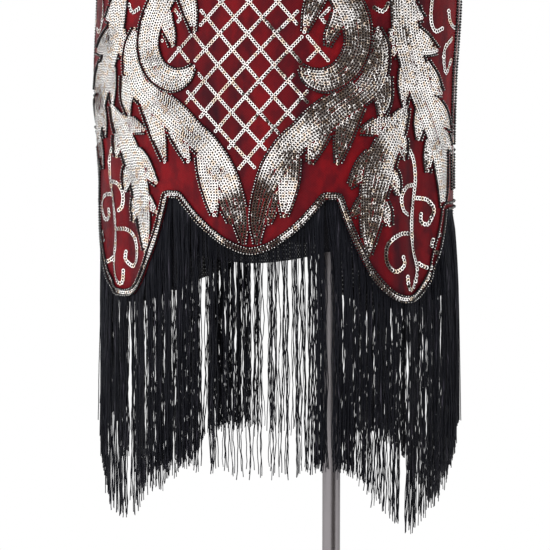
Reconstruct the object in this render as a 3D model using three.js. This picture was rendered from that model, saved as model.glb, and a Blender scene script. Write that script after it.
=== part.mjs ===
// Flapper dress on a limbless dress form: a sleeveless beaded shift with a scalloped hem and a long
// fringe, worn over a smooth torso on a steel pole and a round foot. Millimetres, +Z up. The origin is
// on the floor under the middle of the torso, and the front of the dress faces -Y.
//
// Every piece of cloth is worked out from one surface: horizontal sections of the dress, which hang
// straight below the bust and lie on the form over the shoulders. A place on it is an angle round the
// body (0 at the middle of the front, 90 at the +X side seam) and a height.
import * as THREE from "three";

const { cos, sin, asin, sqrt, abs, min, max, PI } = Math;
const DEGREE = PI / 180;
const QUARTER_TURN = PI / 2;

// Cloth: thicknesses, and the room left between pieces.
const CLOTH = 1.6;
const SEAM_GAP = 0.3;
const BODY_EASE = 1.2; // between the form and the cloth that rests on it
const TRIM_THICKNESS = 1.0;
const TRIM_GAP = 0.6;
const BAND_THICKNESS = 1.0;
const FRINGE_THICKNESS = 3.0;
const FRINGE_GAP = 1.0; // under the band

// Heights on the dress.
const NOTCH_HEIGHT = 687; // the tops of the notches between the scallops
const SKIRT_TOP = 770; // above this the rows of the cloth are level
const UNDERARM = 1190;
const BACK_NECK_ROW = 7; // the row of the yoke where the back's neck opens
const NECK_POINT = 1385; // where the shoulder seam meets the neck
const SHOULDER_TIP = 1346;
const ARMHOLE_SCOOP = 0.17; // how far the armhole cuts in, as a share of the half width

// The scallops of half a panel: the angles they curve between and of their lowest point, how deep they
// hang under the notches, how much lower their outer end is, and how quickly they fall away from a
// notch. The notch at the side seam is wide.
const NOTCH_ANGLE = 26;
const SCALLOPS = [
  { from: -24.1, lowest: 0, to: 24.1, drop: 55, outer: 0, power: 1.7 },
  { from: 27.9, lowest: 53, to: 76, drop: 105, outer: 14, power: 2.4 },
];

// How far the net band and the fringe that hangs from it reach under the notches. The fringe's first
// end is the one nearer the middle of the panel.
const BAND_ABOVE_HEM = 12;
const BAND_DROPS = [
  { ends: 52, middle: 64 },
  { ends: 94, middle: 111 },
];
const FRINGE_DROPS = [
  { first: 270, middle: 282, second: 270 },
  { first: 270, middle: 338, second: 240 },
];
const FRINGE_LEVEL_FROM = 86; // the angle from which the fringe ends are level to the side seam
const TRIM_WIDTH = 7;

// Sections of the form: half width, and depth of front and back from the middle.
const FORM_SECTIONS = [
  { z: 700, halfWidth: 150, front: 90, back: 98 },
  { z: 735, halfWidth: 168, front: 100, back: 109 },
  { z: 800, halfWidth: 176, front: 105, back: 115 },
  { z: 880, halfWidth: 165, front: 102, back: 108 },
  { z: 985, halfWidth: 122, front: 88, back: 82 },
  { z: 1060, halfWidth: 134, front: 101, back: 85 },
  { z: 1130, halfWidth: 150, front: 119, back: 93 },
  { z: 1190, halfWidth: 158, front: 112, back: 96 },
  { z: 1250, halfWidth: 165, front: 92, back: 93 },
  { z: 1300, halfWidth: 164, front: 74, back: 84 },
  { z: 1330, halfWidth: 155, front: 62, back: 73 },
  { z: 1356, halfWidth: 133, front: 53, back: 63 },
  { z: 1376, halfWidth: 101, front: 48, back: 57 },
  { z: 1391, halfWidth: 76, front: 46, back: 53 },
  { z: 1410, halfWidth: 60, front: 46, back: 51 },
  { z: 1440, halfWidth: 54, front: 47, back: 50 },
  { z: 1480, halfWidth: 53, front: 48, back: 49 },
];
const FORM_FOOT = FORM_SECTIONS[0].z;
const FORM_TOP = FORM_SECTIONS.at(-1).z;

// Sections of the dress where it hangs free. Shift is how far it has swung to the +X side.
const HANG_SECTIONS = [
  { z: 320, halfWidth: 186, front: 125, back: 125, shift: 4 },
  { z: 590, halfWidth: 186, front: 125, back: 125, shift: 4 },
  { z: 687, halfWidth: 183.5, front: 125, back: 125, shift: 1 },
  { z: 800, halfWidth: 187.5, front: 125, back: 125, shift: -2 },
  { z: 890, halfWidth: 188, front: 124, back: 124, shift: 2 },
  { z: 985, halfWidth: 184, front: 123, back: 116, shift: 1 },
  { z: 1090, halfWidth: 177, front: 125, back: 108, shift: 0 },
  { z: 1140, halfWidth: 174, front: 125, back: 106, shift: 0 },
  { z: 1190, halfWidth: 169, front: 120, back: 104, shift: 0 },
  { z: 1260, halfWidth: 168, front: 100, back: 98, shift: 0 },
  { z: 1310, halfWidth: 163, front: 76, back: 86, shift: 0 },
];
const REST_FROM = 1200; // the cloth leaves its hanging shape here,
const REST_BY = 1305; // and lies on the form from here up

// The largest folds: soft troughs (depth over 0) and ridges (under 0) that deepen towards the hem.
const FOLDS = [
  { at: -47, depth: 4.5, spread: 6, top: 800 },
  { at: -72, depth: -3, spread: 8, top: 860 },
  { at: 47, depth: -2.5, spread: 7, top: 840 },
  { at: 59, depth: 4.5, spread: 7, top: 900 },
  { at: 76, depth: -3, spread: 7, top: 820 },
  { at: 118, depth: 4, spread: 8, top: 880 },
  { at: 141, depth: -3, spread: 8, top: 800 },
  { at: 172, depth: 3.5, spread: 8, top: 840 },
  { at: 214, depth: -3, spread: 9, top: 900 },
  { at: 238, depth: 4.5, spread: 7, top: 830 },
];

// The grid of a panel. Half a panel has these columns, in steps between the angles from its middle.
const COLUMN_RUNS = [
  { from: 0, to: 24.1, steps: 4 },
  { from: 24.1, to: 27.9, steps: 1 },
  { from: 27.9, to: 76, steps: 8 },
  { from: 76, to: 90, steps: 2 },
];
const SKIRT_ROWS = 4;
const TORSO_ROWS = 9;
const YOKE_ROWS = 14;
const FORM_COLUMNS = 40;

// Stand.
const POLE_RADIUS = 9.5;
const POLE_X = 61;
const FOOT_RADIUS = 172;
const FOOT_THICKNESS = 6;
const FOOT_BEVEL = 1.5;
const HUB = { outer: 17, inner: POLE_RADIUS + SEAM_GAP, height: 28 };
const FLANGE = { radius: 42, thickness: 5 };
const NECK_CAP = { radius: 46, thickness: 14, bevel: 5 };
const ROUND_SIDES = 32;

const mix = (a, b, t) => a + (b - a) * t;
const smooth = (t) => t * t * (3 - 2 * t);
const share = (x, from, to) => min(1, max(0, (x - from) / (to - from)));

// The row of a table at height z, with each column on a smooth curve through the rows.
function sectionAt(table, z) {
  const last = table.length - 1;
  const above = table.findIndex((row) => row.z > z);
  const i = above < 0 ? last - 1 : max(0, above - 1);
  const [a, b] = [table[i], table[i + 1]];
  const [before, after] = [table[max(0, i - 1)], table[min(last, i + 2)]];
  const t = share(z, a.z, b.z);
  const found = {};
  for (const key of Object.keys(a)) {
    const slopeA = (b[key] - before[key]) / (b.z - before.z);
    const slopeB = (after[key] - a[key]) / (after.z - a.z);
    const step = b.z - a.z;
    found[key] =
      a[key] * (1 + 2 * t) * (1 - t) ** 2 +
      slopeA * step * t * (1 - t) ** 2 +
      b[key] * t * t * (3 - 2 * t) +
      slopeB * step * t * t * (t - 1);
  }
  return found;
}

// The section of the dress: hanging below, and lying on the form over the shoulders.
function dressSection(z) {
  const hanging = sectionAt(HANG_SECTIONS, z);
  const form = { shift: 0, ...sectionAt(FORM_SECTIONS, max(z, FORM_FOOT)) };
  const rest = smooth(share(z, REST_FROM, REST_BY));
  const found = {};
  for (const key of ["halfWidth", "front", "back", "shift"]) {
    found[key] = mix(hanging[key], form[key], rest);
  }
  return found;
}

// How far the folds push the cloth in at a place.
function foldDepth(angle, z) {
  let depth = 0;
  for (const fold of FOLDS) {
    const turns = (angle / DEGREE - fold.at) / 360;
    const away = (turns - Math.round(turns)) * 360;
    const grown = smooth(share(fold.top - z, 0, fold.top - NOTCH_HEIGHT + 60));
    depth += fold.depth * grown * Math.exp(-((away / fold.spread) ** 2));
  }
  return depth;
}

function dressPoint(angle, z) {
  const { halfWidth, front, back, shift } = dressSection(z);
  const depth = cos(angle) > 0 ? front : back;
  const inwards = foldDepth(angle, z);
  return new THREE.Vector3(
    (halfWidth - inwards) * sin(angle) + shift,
    -(depth - inwards) * cos(angle),
    z,
  );
}

function dressNormal(angle, z) {
  const step = 0.01;
  const around = dressPoint(angle + step, z).sub(dressPoint(angle - step, z));
  const up = dressPoint(angle, z + 1).sub(dressPoint(angle, z - 1));
  return around.cross(up).normalize();
}

// A place on the dress, moved out of its surface.
function placed(angle, z, out) {
  return dressPoint(angle, z).addScaledVector(dressNormal(angle, z), out);
}

// The profile of a scallop: 0 at its notches and 1 at its lowest point.
function scallopShape(degrees, { from, lowest, to, power }) {
  const reach = degrees < lowest ? lowest - from : to - lowest;
  return 1 - min(1, abs(degrees - lowest) / reach) ** power;
}

// Degrees is the angle from the middle of a panel. Returns the scallop's index there.
const scallopAt = (degrees) => (abs(degrees) < NOTCH_ANGLE ? 0 : 1);

function hemHeight(degrees) {
  const scallop = SCALLOPS[scallopAt(degrees)];
  const end = abs(degrees) > scallop.lowest ? scallop.outer : 0;
  return NOTCH_HEIGHT - mix(end, scallop.drop, scallopShape(abs(degrees), scallop));
}

function bandHeight(degrees) {
  const index = scallopAt(degrees);
  const { ends, middle } = BAND_DROPS[index];
  return NOTCH_HEIGHT - mix(ends, middle, scallopShape(abs(degrees), SCALLOPS[index]));
}

// The ends of the fringe make a soft wave, lowest under the middles of the scallops.
function fringeHeight(degrees) {
  const index = scallopAt(degrees);
  const { first, middle, second } = FRINGE_DROPS[index];
  const from = index ? NOTCH_ANGLE : -NOTCH_ANGLE;
  const to = index ? FRINGE_LEVEL_FROM : NOTCH_ANGLE;
  const along = share(abs(degrees), from, to);
  return NOTCH_HEIGHT - mix(along < 0.5 ? first : second, middle, sin(PI * along) ** 2);
}

// The columns of half a panel, in degrees from its middle to its side seam.
function halfColumns() {
  const columns = [0];
  for (const { from, to, steps } of COLUMN_RUNS) {
    for (let k = 1; k <= steps; k++) columns.push(mix(from, to, k / steps));
  }
  return columns;
}

// The two faces of the dress. Turn gives the angle round the body of a place on half a panel, and split
// is the share of the yoke's height at which its neck opens, from a point or from a rounded bottom.
const FACES = {
  front: { turn: (half, angle) => half * angle, towards: -1, split: 0, rounding: 1 },
  back: {
    turn: (half, angle) => PI - half * angle,
    towards: 1,
    split: yokeRise(BACK_NECK_ROW),
    rounding: 1.7,
  },
};

// The share of the yoke's height that a row has reached. The rows close up towards the shoulders, where
// the form curves most.
function yokeRise(row) {
  return sin((row / YOKE_ROWS) * QUARTER_TURN);
}

// The neck edge of the yoke at a share of its height: its angle from the panel's middle and its height.
function neckEdge({ split, rounding }, rise) {
  const along = max(0, rise - split) / (1 - split);
  const opening = mix(UNDERARM, NECK_POINT, split);
  const z = along > 0 ? mix(opening, NECK_POINT, along ** rounding) : mix(UNDERARM, NECK_POINT, rise);
  const x = dressSection(NECK_POINT).halfWidth * along;
  return { angle: asin(min(1, x / dressSection(z).halfWidth)), z };
}

function armholeEdge(rise) {
  const z = mix(UNDERARM, SHOULDER_TIP, rise);
  const scoop = rise >= 1 ? 0 : ARMHOLE_SCOOP * sin(PI * rise) ** 0.8;
  return { angle: asin(1 - scoop), z };
}

// The rows of half a panel, each a function from a column's degrees to an angle and a height.
function panelRows(face) {
  const rows = [];
  for (let k = 0; k < SKIRT_ROWS; k++) {
    rows.push((degrees) => ({
      angle: degrees * DEGREE,
      z: mix(hemHeight(degrees), SKIRT_TOP, (k / SKIRT_ROWS) ** 0.9),
    }));
  }
  for (let k = 0; k <= TORSO_ROWS; k++) {
    const z = mix(SKIRT_TOP, UNDERARM, k / TORSO_ROWS);
    rows.push((degrees) => ({ angle: degrees * DEGREE, z }));
  }
  for (let k = 1; k <= YOKE_ROWS; k++) {
    const neck = neckEdge(face, yokeRise(k));
    const arm = armholeEdge(yokeRise(k));
    rows.push((degrees) => ({
      angle: mix(neck.angle, arm.angle, degrees / 90),
      z: mix(neck.z, arm.z, smooth(degrees / 90)),
    }));
  }
  return rows;
}

// A sheet: points with their outward normals, and four-sided faces seen anticlockwise from outside.
// Rows and columns that meet in one place share its point.
class Sheet {
  points = [];
  normals = [];
  faces = [];
  #known = new Map();

  point(position, normal) {
    const key = position.toArray().map((x) => x.toFixed(3)).join();
    if (!this.#known.has(key)) {
      this.#known.set(key, this.points.length);
      this.points.push(position);
      this.normals.push(normal);
    }
    return this.#known.get(key);
  }

  // A grid of rows of indices, low row first. Mirrored grids run the other way round.
  grid(rows, mirrored) {
    for (let i = 0; i + 1 < rows.length; i++) {
      for (let j = 0; j + 1 < rows[i].length; j++) {
        const face = [rows[i][j], rows[i][j + 1], rows[i + 1][j + 1], rows[i + 1][j]];
        this.faces.push(mirrored ? face.reverse() : face);
      }
    }
  }

  // The closed wall between two distances from the sheet.
  wall(inner, outer) {
    const count = this.points.length;
    const positions = [];
    for (const out of [outer, inner]) {
      this.points.forEach((p, i) => {
        positions.push(...p.clone().addScaledVector(this.normals[i], out).toArray());
      });
    }
    const triangles = [];
    const edges = new Map();
    for (const corners of this.faces) {
      const face = corners.filter((v, i) => v !== corners[(i + 1) % corners.length]);
      for (let k = 1; k + 1 < face.length; k++) {
        triangles.push(face[0], face[k], face[k + 1]);
        triangles.push(count + face[0], count + face[k + 1], count + face[k]);
      }
      face.forEach((a, i) => edges.set(`${a},${face[(i + 1) % face.length]}`, true));
    }
    for (const edge of edges.keys()) {
      const [a, b] = edge.split(",").map(Number);
      if (!edges.has(`${b},${a}`)) {
        triangles.push(a, count + a, count + b, a, count + b, b);
      }
    }
    const geometry = new THREE.BufferGeometry();
    geometry.setAttribute("position", new THREE.Float32BufferAttribute(positions, 3));
    geometry.setIndex(triangles);
    return geometry;
  }
}

// A sheet on one face of the dress, from rows that give an angle from the panel's middle and a height
// for each column. The face is moved off the other one by half a seam's gap.
function faceSheet(face, rows, columns) {
  const sheet = new Sheet();
  for (const half of [1, -1]) {
    const grid = rows.map((row) =>
      columns.map((degrees) => {
        const { angle, z } = row(degrees);
        const turned = face.turn(half, angle);
        const position = dressPoint(turned, z);
        position.y += (face.towards * SEAM_GAP) / 2;
        return sheet.point(position, dressNormal(turned, z));
      }),
    );
    sheet.grid(grid, half * -face.towards < 0);
  }
  return sheet;
}

// Distances from the dress's surface: the cloth, then what lies behind it and on it.
const CLOTH_IN = BODY_EASE;
const CLOTH_OUT = CLOTH_IN + CLOTH;
const BAND_OUT = CLOTH_IN - SEAM_GAP - 0.4;
const TRIM_IN = CLOTH_OUT + TRIM_GAP;

function panel(face) {
  return faceSheet(face, panelRows(face), halfColumns()).wall(CLOTH_IN, CLOTH_OUT);
}

function levels(heights) {
  return heights.map((height) => (degrees) => ({
    angle: degrees * DEGREE,
    z: height(degrees),
  }));
}

function fringeBand(face) {
  const rows = levels([bandHeight, (degrees) => hemHeight(degrees) + BAND_ABOVE_HEM]);
  return faceSheet(face, rows, halfColumns()).wall(BAND_OUT - BAND_THICKNESS, BAND_OUT);
}

function fringe(face) {
  const top = (degrees) => bandHeight(degrees) - FRINGE_GAP;
  const middle = (degrees) => mix(top(degrees), fringeHeight(degrees), 0.5);
  const rows = levels([fringeHeight, middle, top]);
  const middleOut = BAND_OUT - BAND_THICKNESS / 2;
  return faceSheet(face, rows, halfColumns()).wall(
    middleOut - FRINGE_THICKNESS / 2,
    middleOut + FRINGE_THICKNESS / 2,
  );
}

// The strip of sequins along the hem. It goes higher where the hem is steep, so that its width across
// stays the same.
function hemTrim(face) {
  const perDegree = HANG_SECTIONS[1].halfWidth * DEGREE;
  const inner = (degrees) => {
    const toMiddle = degrees > SCALLOPS[scallopAt(degrees)].from ? -0.5 : 0.5;
    const slope = (hemHeight(degrees + toMiddle) - hemHeight(degrees)) / (0.5 * perDegree);
    return hemHeight(degrees) + TRIM_WIDTH * min(3, sqrt(1 + slope * slope));
  };
  return faceSheet(face, levels([hemHeight, inner]), halfColumns()).wall(
    TRIM_IN,
    TRIM_IN + TRIM_THICKNESS,
  );
}

// The torso: sections joined up, with a flat foot and a flat neck.
function formTorso() {
  const heights = [];
  FORM_SECTIONS.forEach(({ z }, i) => {
    if (i) heights.push((FORM_SECTIONS[i - 1].z + z) / 2);
    heights.push(z);
  });
  const positions = [];
  for (const z of heights) {
    const { halfWidth, front, back } = sectionAt(FORM_SECTIONS, z);
    for (let k = 0; k < FORM_COLUMNS; k++) {
      const angle = (k / FORM_COLUMNS) * 2 * PI;
      const depth = cos(angle) > 0 ? front : back;
      positions.push(halfWidth * sin(angle), -depth * cos(angle), z);
    }
  }
  const triangles = [];
  const at = (i, k) => i * FORM_COLUMNS + (k % FORM_COLUMNS);
  for (let i = 0; i + 1 < heights.length; i++) {
    for (let k = 0; k < FORM_COLUMNS; k++) {
      triangles.push(at(i, k), at(i, k + 1), at(i + 1, k + 1));
      triangles.push(at(i, k), at(i + 1, k + 1), at(i + 1, k));
    }
  }
  const top = heights.length - 1;
  for (let k = 1; k + 1 < FORM_COLUMNS; k++) {
    triangles.push(at(0, 0), at(0, k + 1), at(0, k));
    triangles.push(at(top, 0), at(top, k), at(top, k + 1));
  }
  const geometry = new THREE.BufferGeometry();
  geometry.setAttribute("position", new THREE.Float32BufferAttribute(positions, 3));
  geometry.setIndex(triangles);
  return geometry;
}

// A solid of revolution about +Z from a profile of [radius, height] pairs.
function turned(profile) {
  const points = profile.map(([r, h]) => new THREE.Vector2(r, h));
  const geometry = new THREE.LatheGeometry(points, ROUND_SIDES);
  geometry.rotateX(QUARTER_TURN);
  return geometry;
}

const bevelledDisc = (radius, thickness, bevel) =>
  turned([
    [0, 0],
    [radius, 0],
    [radius, thickness - bevel],
    [radius - bevel, thickness],
    [0, thickness],
  ]);

function pole(from, to) {
  const geometry = new THREE.CylinderGeometry(POLE_RADIUS, POLE_RADIUS, to - from, ROUND_SIDES);
  geometry.rotateX(QUARTER_TURN);
  geometry.translate(0, 0, (from + to) / 2);
  return geometry;
}

function hub() {
  const { outer, inner, height } = HUB;
  return turned([
    [inner, 0],
    [outer, 0],
    [outer, height - 3],
    [outer - 3, height],
    [inner, height],
    [inner, 0],
  ]);
}

const FINISHES = {
  redCloth: { color: 0x7c1220, roughness: 0.55, metalness: 0 },
  blackNet: { color: 0x0c0c0f, roughness: 0.8, metalness: 0 },
  blackFringe: { color: 0x111117, roughness: 0.45, metalness: 0 },
  sequins: { color: 0xe8dcd4, roughness: 0.25, metalness: 0.8 },
  formCover: { color: 0xe6e0d4, roughness: 0.9, metalness: 0 },
  steel: { color: 0x86807f, roughness: 0.3, metalness: 1 },
};

const dress = new THREE.Group();

function add(name, geometry, finish, x = 0, z = 0) {
  const mesh = new THREE.Mesh(geometry, new THREE.MeshStandardMaterial(FINISHES[finish]));
  mesh.name = name;
  mesh.position.set(x, 0, z);
  dress.add(mesh);
}

for (const [name, face] of Object.entries(FACES)) {
  add(`${name}_panel`, panel(face), "redCloth");
  add(`${name}_hem_trim`, hemTrim(face), "sequins");
  add(`${name}_fringe_band`, fringeBand(face), "blackNet");
  add(`${name}_fringe`, fringe(face), "blackFringe");
}
const flangeHeight = FORM_FOOT - SEAM_GAP - FLANGE.thickness;
add("form_torso", formTorso(), "formCover");
const neckCap = bevelledDisc(NECK_CAP.radius, NECK_CAP.thickness, NECK_CAP.bevel);
add("form_neck_cap", neckCap, "steel", 0, FORM_TOP + SEAM_GAP);
const flange = bevelledDisc(FLANGE.radius, FLANGE.thickness, 0.5);
add("stand_flange", flange, "steel", POLE_X, flangeHeight);
add("stand_pole", pole(FOOT_THICKNESS + SEAM_GAP, flangeHeight - SEAM_GAP), "steel", POLE_X);
add("stand_hub", hub(), "steel", POLE_X, FOOT_THICKNESS + SEAM_GAP);
add("stand_foot", bevelledDisc(FOOT_RADIUS, FOOT_THICKNESS, FOOT_BEVEL), "steel");

export default dress;
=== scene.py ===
"""A sleeveless flapper dress with a scalloped hem and long fringe, on a limbless dress form.

The cloth, its sequin and bead work, the net band and the fringe all lie on one surface, the cut of
the dress. A place on that surface is an angle round the body, 0 at the middle of the front and 90
degrees at the +X side seam, and a height. Lengths in the tables are millimetres, and the finished
meshes are in metres.
"""

from __future__ import annotations

import logging
import math
from collections.abc import Callable
from dataclasses import dataclass, field
from enum import Enum

import bmesh
import bpy
import numpy as np
from mathutils import Matrix, Vector

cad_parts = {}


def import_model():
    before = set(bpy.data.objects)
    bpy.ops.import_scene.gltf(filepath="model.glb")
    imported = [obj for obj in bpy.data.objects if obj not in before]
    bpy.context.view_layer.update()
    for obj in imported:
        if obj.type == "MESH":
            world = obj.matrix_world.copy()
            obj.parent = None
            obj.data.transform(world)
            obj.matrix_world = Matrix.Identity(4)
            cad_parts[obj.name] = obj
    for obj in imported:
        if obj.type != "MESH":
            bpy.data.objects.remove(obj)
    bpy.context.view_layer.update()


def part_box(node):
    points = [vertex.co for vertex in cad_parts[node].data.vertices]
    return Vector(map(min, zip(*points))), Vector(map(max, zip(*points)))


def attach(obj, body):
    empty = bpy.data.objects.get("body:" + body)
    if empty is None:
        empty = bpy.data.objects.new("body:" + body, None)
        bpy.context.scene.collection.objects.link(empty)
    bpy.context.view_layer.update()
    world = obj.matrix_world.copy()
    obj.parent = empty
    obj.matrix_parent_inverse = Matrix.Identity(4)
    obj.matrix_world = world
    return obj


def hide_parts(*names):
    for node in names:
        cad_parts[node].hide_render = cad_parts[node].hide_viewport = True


MM = 0.001
WHITE = (1.0, 1.0, 1.0, 1.0)
LOG = logging.getLogger("dress")


# --- Small helpers -------------------------------------------------------------------------------


def smooth(t: np.ndarray | float) -> np.ndarray | float:
    """A soft step from 0 to 1 for t from 0 to 1."""
    t = np.clip(t, 0.0, 1.0)
    return t * t * (3.0 - 2.0 * t)


def unit(vectors: np.ndarray) -> np.ndarray:
    """Vectors along the last axis, made one long."""
    return vectors / np.linalg.norm(vectors, axis=-1, keepdims=True)


def in_scene(name: str, data: bpy.types.ID) -> bpy.types.Object:
    """Puts a new object with its data in the scene."""
    made = bpy.data.objects.new(name, data)
    bpy.context.scene.collection.objects.link(made)
    return made


def hermite_table(rows: np.ndarray, heights: np.ndarray) -> np.ndarray:
    """Samples a table along a smooth curve through its rows.

    Args:
        rows: One row for each known height, with the height first.
        heights: The heights to sample at.

    Returns:
        One row of the remaining columns for each height.
    """
    z, values = rows[:, :1], rows[:, 1:]
    slopes = np.empty_like(values)
    slopes[1:-1] = (values[2:] - values[:-2]) / (z[2:] - z[:-2])
    slopes[0] = (values[1] - values[0]) / (z[1] - z[0])
    slopes[-1] = (values[-1] - values[-2]) / (z[-1] - z[-2])
    i = np.clip(np.searchsorted(rows[:, 0], heights, side="right") - 1, 0, len(rows) - 2)
    step = z[i + 1] - z[i]
    t = np.clip((heights[:, None] - z[i]) / step, 0.0, 1.0)
    return (
        values[i] * (1 + 2 * t) * (1 - t) ** 2
        + slopes[i] * step * t * (1 - t) ** 2
        + values[i + 1] * t * t * (3 - 2 * t)
        + slopes[i + 1] * step * t * t * (t - 1)
    )


def spline_through(points: np.ndarray, spacing: float) -> np.ndarray:
    """Samples a smooth curve through points at an even spacing.

    Args:
        points: The points, whose first two columns are a place. More columns are carried along.
        spacing: The distance between samples.

    Returns:
        The samples, with as many columns as the points.
    """
    ends = np.vstack([2 * points[0] - points[1], points, 2 * points[-1] - points[-2]])
    t = np.linspace(0, 1, 24, endpoint=False)[:, None]
    pieces = []
    for a, b, c, d in zip(ends, ends[1:], ends[2:], ends[3:]):
        bend = 2 * b + (c - a) * t + (2 * a - 5 * b + 4 * c - d) * t**2 + (3 * b - a - 3 * c + d) * t**3
        pieces.append(0.5 * bend)
    dense = np.vstack([*pieces, points[-1:]])
    along = np.concatenate([[0.0], np.cumsum(np.linalg.norm(np.diff(dense[:, :2], axis=0), axis=1))])
    wanted = np.linspace(0, along[-1], max(2, int(round(along[-1] / spacing)) + 1))
    return np.column_stack([np.interp(wanted, along, column) for column in dense.T])


# --- The cut of the dress ------------------------------------------------------------------------


@dataclass(frozen=True)
class Fold:
    """A soft trough, or a ridge where its depth is under 0, that deepens towards the hem."""

    at: float
    depth: float
    spread: float
    top: float


@dataclass(frozen=True)
class Scallop:
    """One scallop of half a panel.

    It curves from one angle to another by its lowest one. Its drop is how far it hangs under the
    notches, and its outer end lies lower by outer. Power sets how quickly it falls away from a notch.
    The reaches of the net band and of the fringe ends are also under the notches.
    """

    start: float
    lowest: float
    end: float
    drop: float
    outer: float
    power: float
    band_ends: float
    band_middle: float
    fringe_first: float
    fringe_middle: float
    fringe_second: float


@dataclass
class DressCut:
    """The surface that the cloth and everything on it is made from.

    The rows of the form give height, half width, depth of front and depth of back. The rows of the
    hanging dress add how far it has swung to the +X side. Folds are large and soft, and ripples are
    the small folds between them.
    """

    notch: float = 687.0
    notch_angle: float = 26.0
    fringe_level_from: float = 86.0
    skirt_top: float = 770.0
    underarm: float = 1190.0
    neck_point: float = 1385.0
    shoulder_tip: float = 1346.0
    armhole_scoop: float = 0.17
    rest_from: float = 1200.0
    rest_by: float = 1305.0
    seam_gap: float = 0.3
    cloth_in: float = 1.2
    cloth: float = 1.6
    scallops: tuple[Scallop, ...] = (
        Scallop(
            start=-24.1, lowest=0.0, end=24.1, drop=55.0, outer=0.0, power=1.7, band_ends=52.0,
            band_middle=64.0, fringe_first=270.0, fringe_middle=282.0, fringe_second=270.0,
        ),
        Scallop(
            start=27.9, lowest=53.0, end=76.0, drop=105.0, outer=14.0, power=2.4, band_ends=94.0,
            band_middle=111.0, fringe_first=270.0, fringe_middle=338.0, fringe_second=240.0,
        ),
    )
    form_rows: tuple[tuple[float, ...], ...] = (
        (700, 150, 90, 98),
        (735, 168, 100, 109),
        (800, 176, 105, 115),
        (880, 165, 102, 108),
        (985, 122, 88, 82),
        (1060, 134, 101, 85),
        (1130, 150, 119, 93),
        (1190, 158, 112, 96),
        (1250, 165, 92, 93),
        (1300, 164, 74, 84),
        (1330, 155, 62, 73),
        (1356, 133, 53, 63),
        (1376, 101, 48, 57),
        (1391, 76, 46, 53),
        (1410, 60, 46, 51),
        (1440, 54, 47, 50),
        (1480, 53, 48, 49),
    )
    hang_rows: tuple[tuple[float, ...], ...] = (
        (320, 186, 125, 125, 4),
        (590, 186, 125, 125, 4),
        (687, 183.5, 125, 125, 1),
        (800, 187.5, 125, 125, -2),
        (890, 188, 124, 124, 2),
        (985, 184, 123, 116, 1),
        (1090, 177, 125, 108, 0),
        (1140, 174, 125, 106, 0),
        (1190, 169, 120, 104, 0),
        (1260, 168, 100, 98, 0),
        (1310, 163, 76, 86, 0),
    )
    folds: tuple[Fold, ...] = (
        Fold(-47, 4.5, 6, 800),
        Fold(-72, -3, 8, 860),
        Fold(47, -2.5, 7, 840),
        Fold(59, 4.5, 7, 900),
        Fold(76, -3, 7, 820),
        Fold(118, 4, 8, 880),
        Fold(141, -3, 8, 800),
        Fold(172, 3.5, 8, 840),
        Fold(214, -3, 9, 900),
        Fold(238, 4.5, 7, 830),
    )
    ripples: tuple[Fold, ...] = (
        Fold(-83, 1.6, 2.4, 760),
        Fold(-60, 1.5, 2.2, 730),
        Fold(-36, -1.0, 2.6, 730),
        Fold(-20, 1.1, 2.6, 720),
        Fold(-7, -0.9, 3.0, 700),
        Fold(9, 1.2, 2.6, 715),
        Fold(21, -1.0, 2.4, 730),
        Fold(38, 1.6, 2.2, 745),
        Fold(53, -1.3, 2.0, 740),
        Fold(67, 1.6, 2.2, 760),
        Fold(84, -1.2, 2.4, 740),
        Fold(101, 1.4, 2.6, 750),
        Fold(129, -1.3, 2.6, 740),
        Fold(155, 1.5, 2.4, 760),
        Fold(188, -1.2, 3.0, 730),
        Fold(202, 1.5, 2.4, 750),
        Fold(226, 1.4, 2.2, 740),
        Fold(251, -1.4, 2.6, 760),
        Fold(263, 1.5, 2.4, 740),
    )
    fold_reach: float = 60.0
    _heights: np.ndarray = field(init=False, repr=False)
    _sections: np.ndarray = field(init=False, repr=False)
    _form: np.ndarray = field(init=False, repr=False)
    _arc: np.ndarray = field(init=False, repr=False)
    _arc_angles: np.ndarray = field(init=False, repr=False)

    def __post_init__(self) -> None:
        """Samples the sections once, at every millimetre of height."""
        form_rows = np.array(self.form_rows, float)
        self._heights = np.arange(300.0, 1481.0, 1.0)
        self._form = hermite_table(form_rows, np.maximum(self._heights, form_rows[0, 0]))
        hanging = hermite_table(np.array(self.hang_rows, float), self._heights)
        rest = smooth((self._heights - self.rest_from) / (self.rest_by - self.rest_from))[:, None]
        form = np.column_stack([self._form, np.zeros(len(self._heights))])
        self._sections = hanging * (1 - rest) + form * rest
        self._arc_angles = np.radians(np.linspace(0, 90, 901))
        width, depth = self.hang_rows[1][1:3]
        speed = np.hypot(width * np.cos(self._arc_angles), depth * np.sin(self._arc_angles))
        steps = (speed[1:] + speed[:-1]) / 2 * np.diff(self._arc_angles)
        self._arc = np.concatenate([[0.0], np.cumsum(steps)])

    @property
    def cloth_out(self) -> float:
        """The distance from the surface to the outside of the cloth."""
        return self.cloth_in + self.cloth

    @property
    def half_girth(self) -> float:
        """The length round the surface from the middle of a panel to its side seam."""
        return float(self._arc[-1])

    def angle_at(self, across: np.ndarray) -> np.ndarray:
        """The angle, in radians, of places a distance across a panel from its middle."""
        return np.sign(across) * np.interp(np.abs(across), self._arc, self._arc_angles)

    def across_at(self, angle: np.ndarray) -> np.ndarray:
        """The distance across a panel of angles, in radians, from its middle."""
        return np.sign(angle) * np.interp(np.abs(angle), self._arc_angles, self._arc)

    def section(self, z: np.ndarray) -> tuple[np.ndarray, ...]:
        """Half width, depth of front, depth of back and shift of the dress at heights."""
        return tuple(np.interp(z, self._heights, column) for column in self._sections.T)

    def form_section(self, z: np.ndarray) -> tuple[np.ndarray, ...]:
        """Half width, depth of front and depth of back of the form at heights."""
        return tuple(np.interp(z, self._heights, column) for column in self._form.T)

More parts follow.
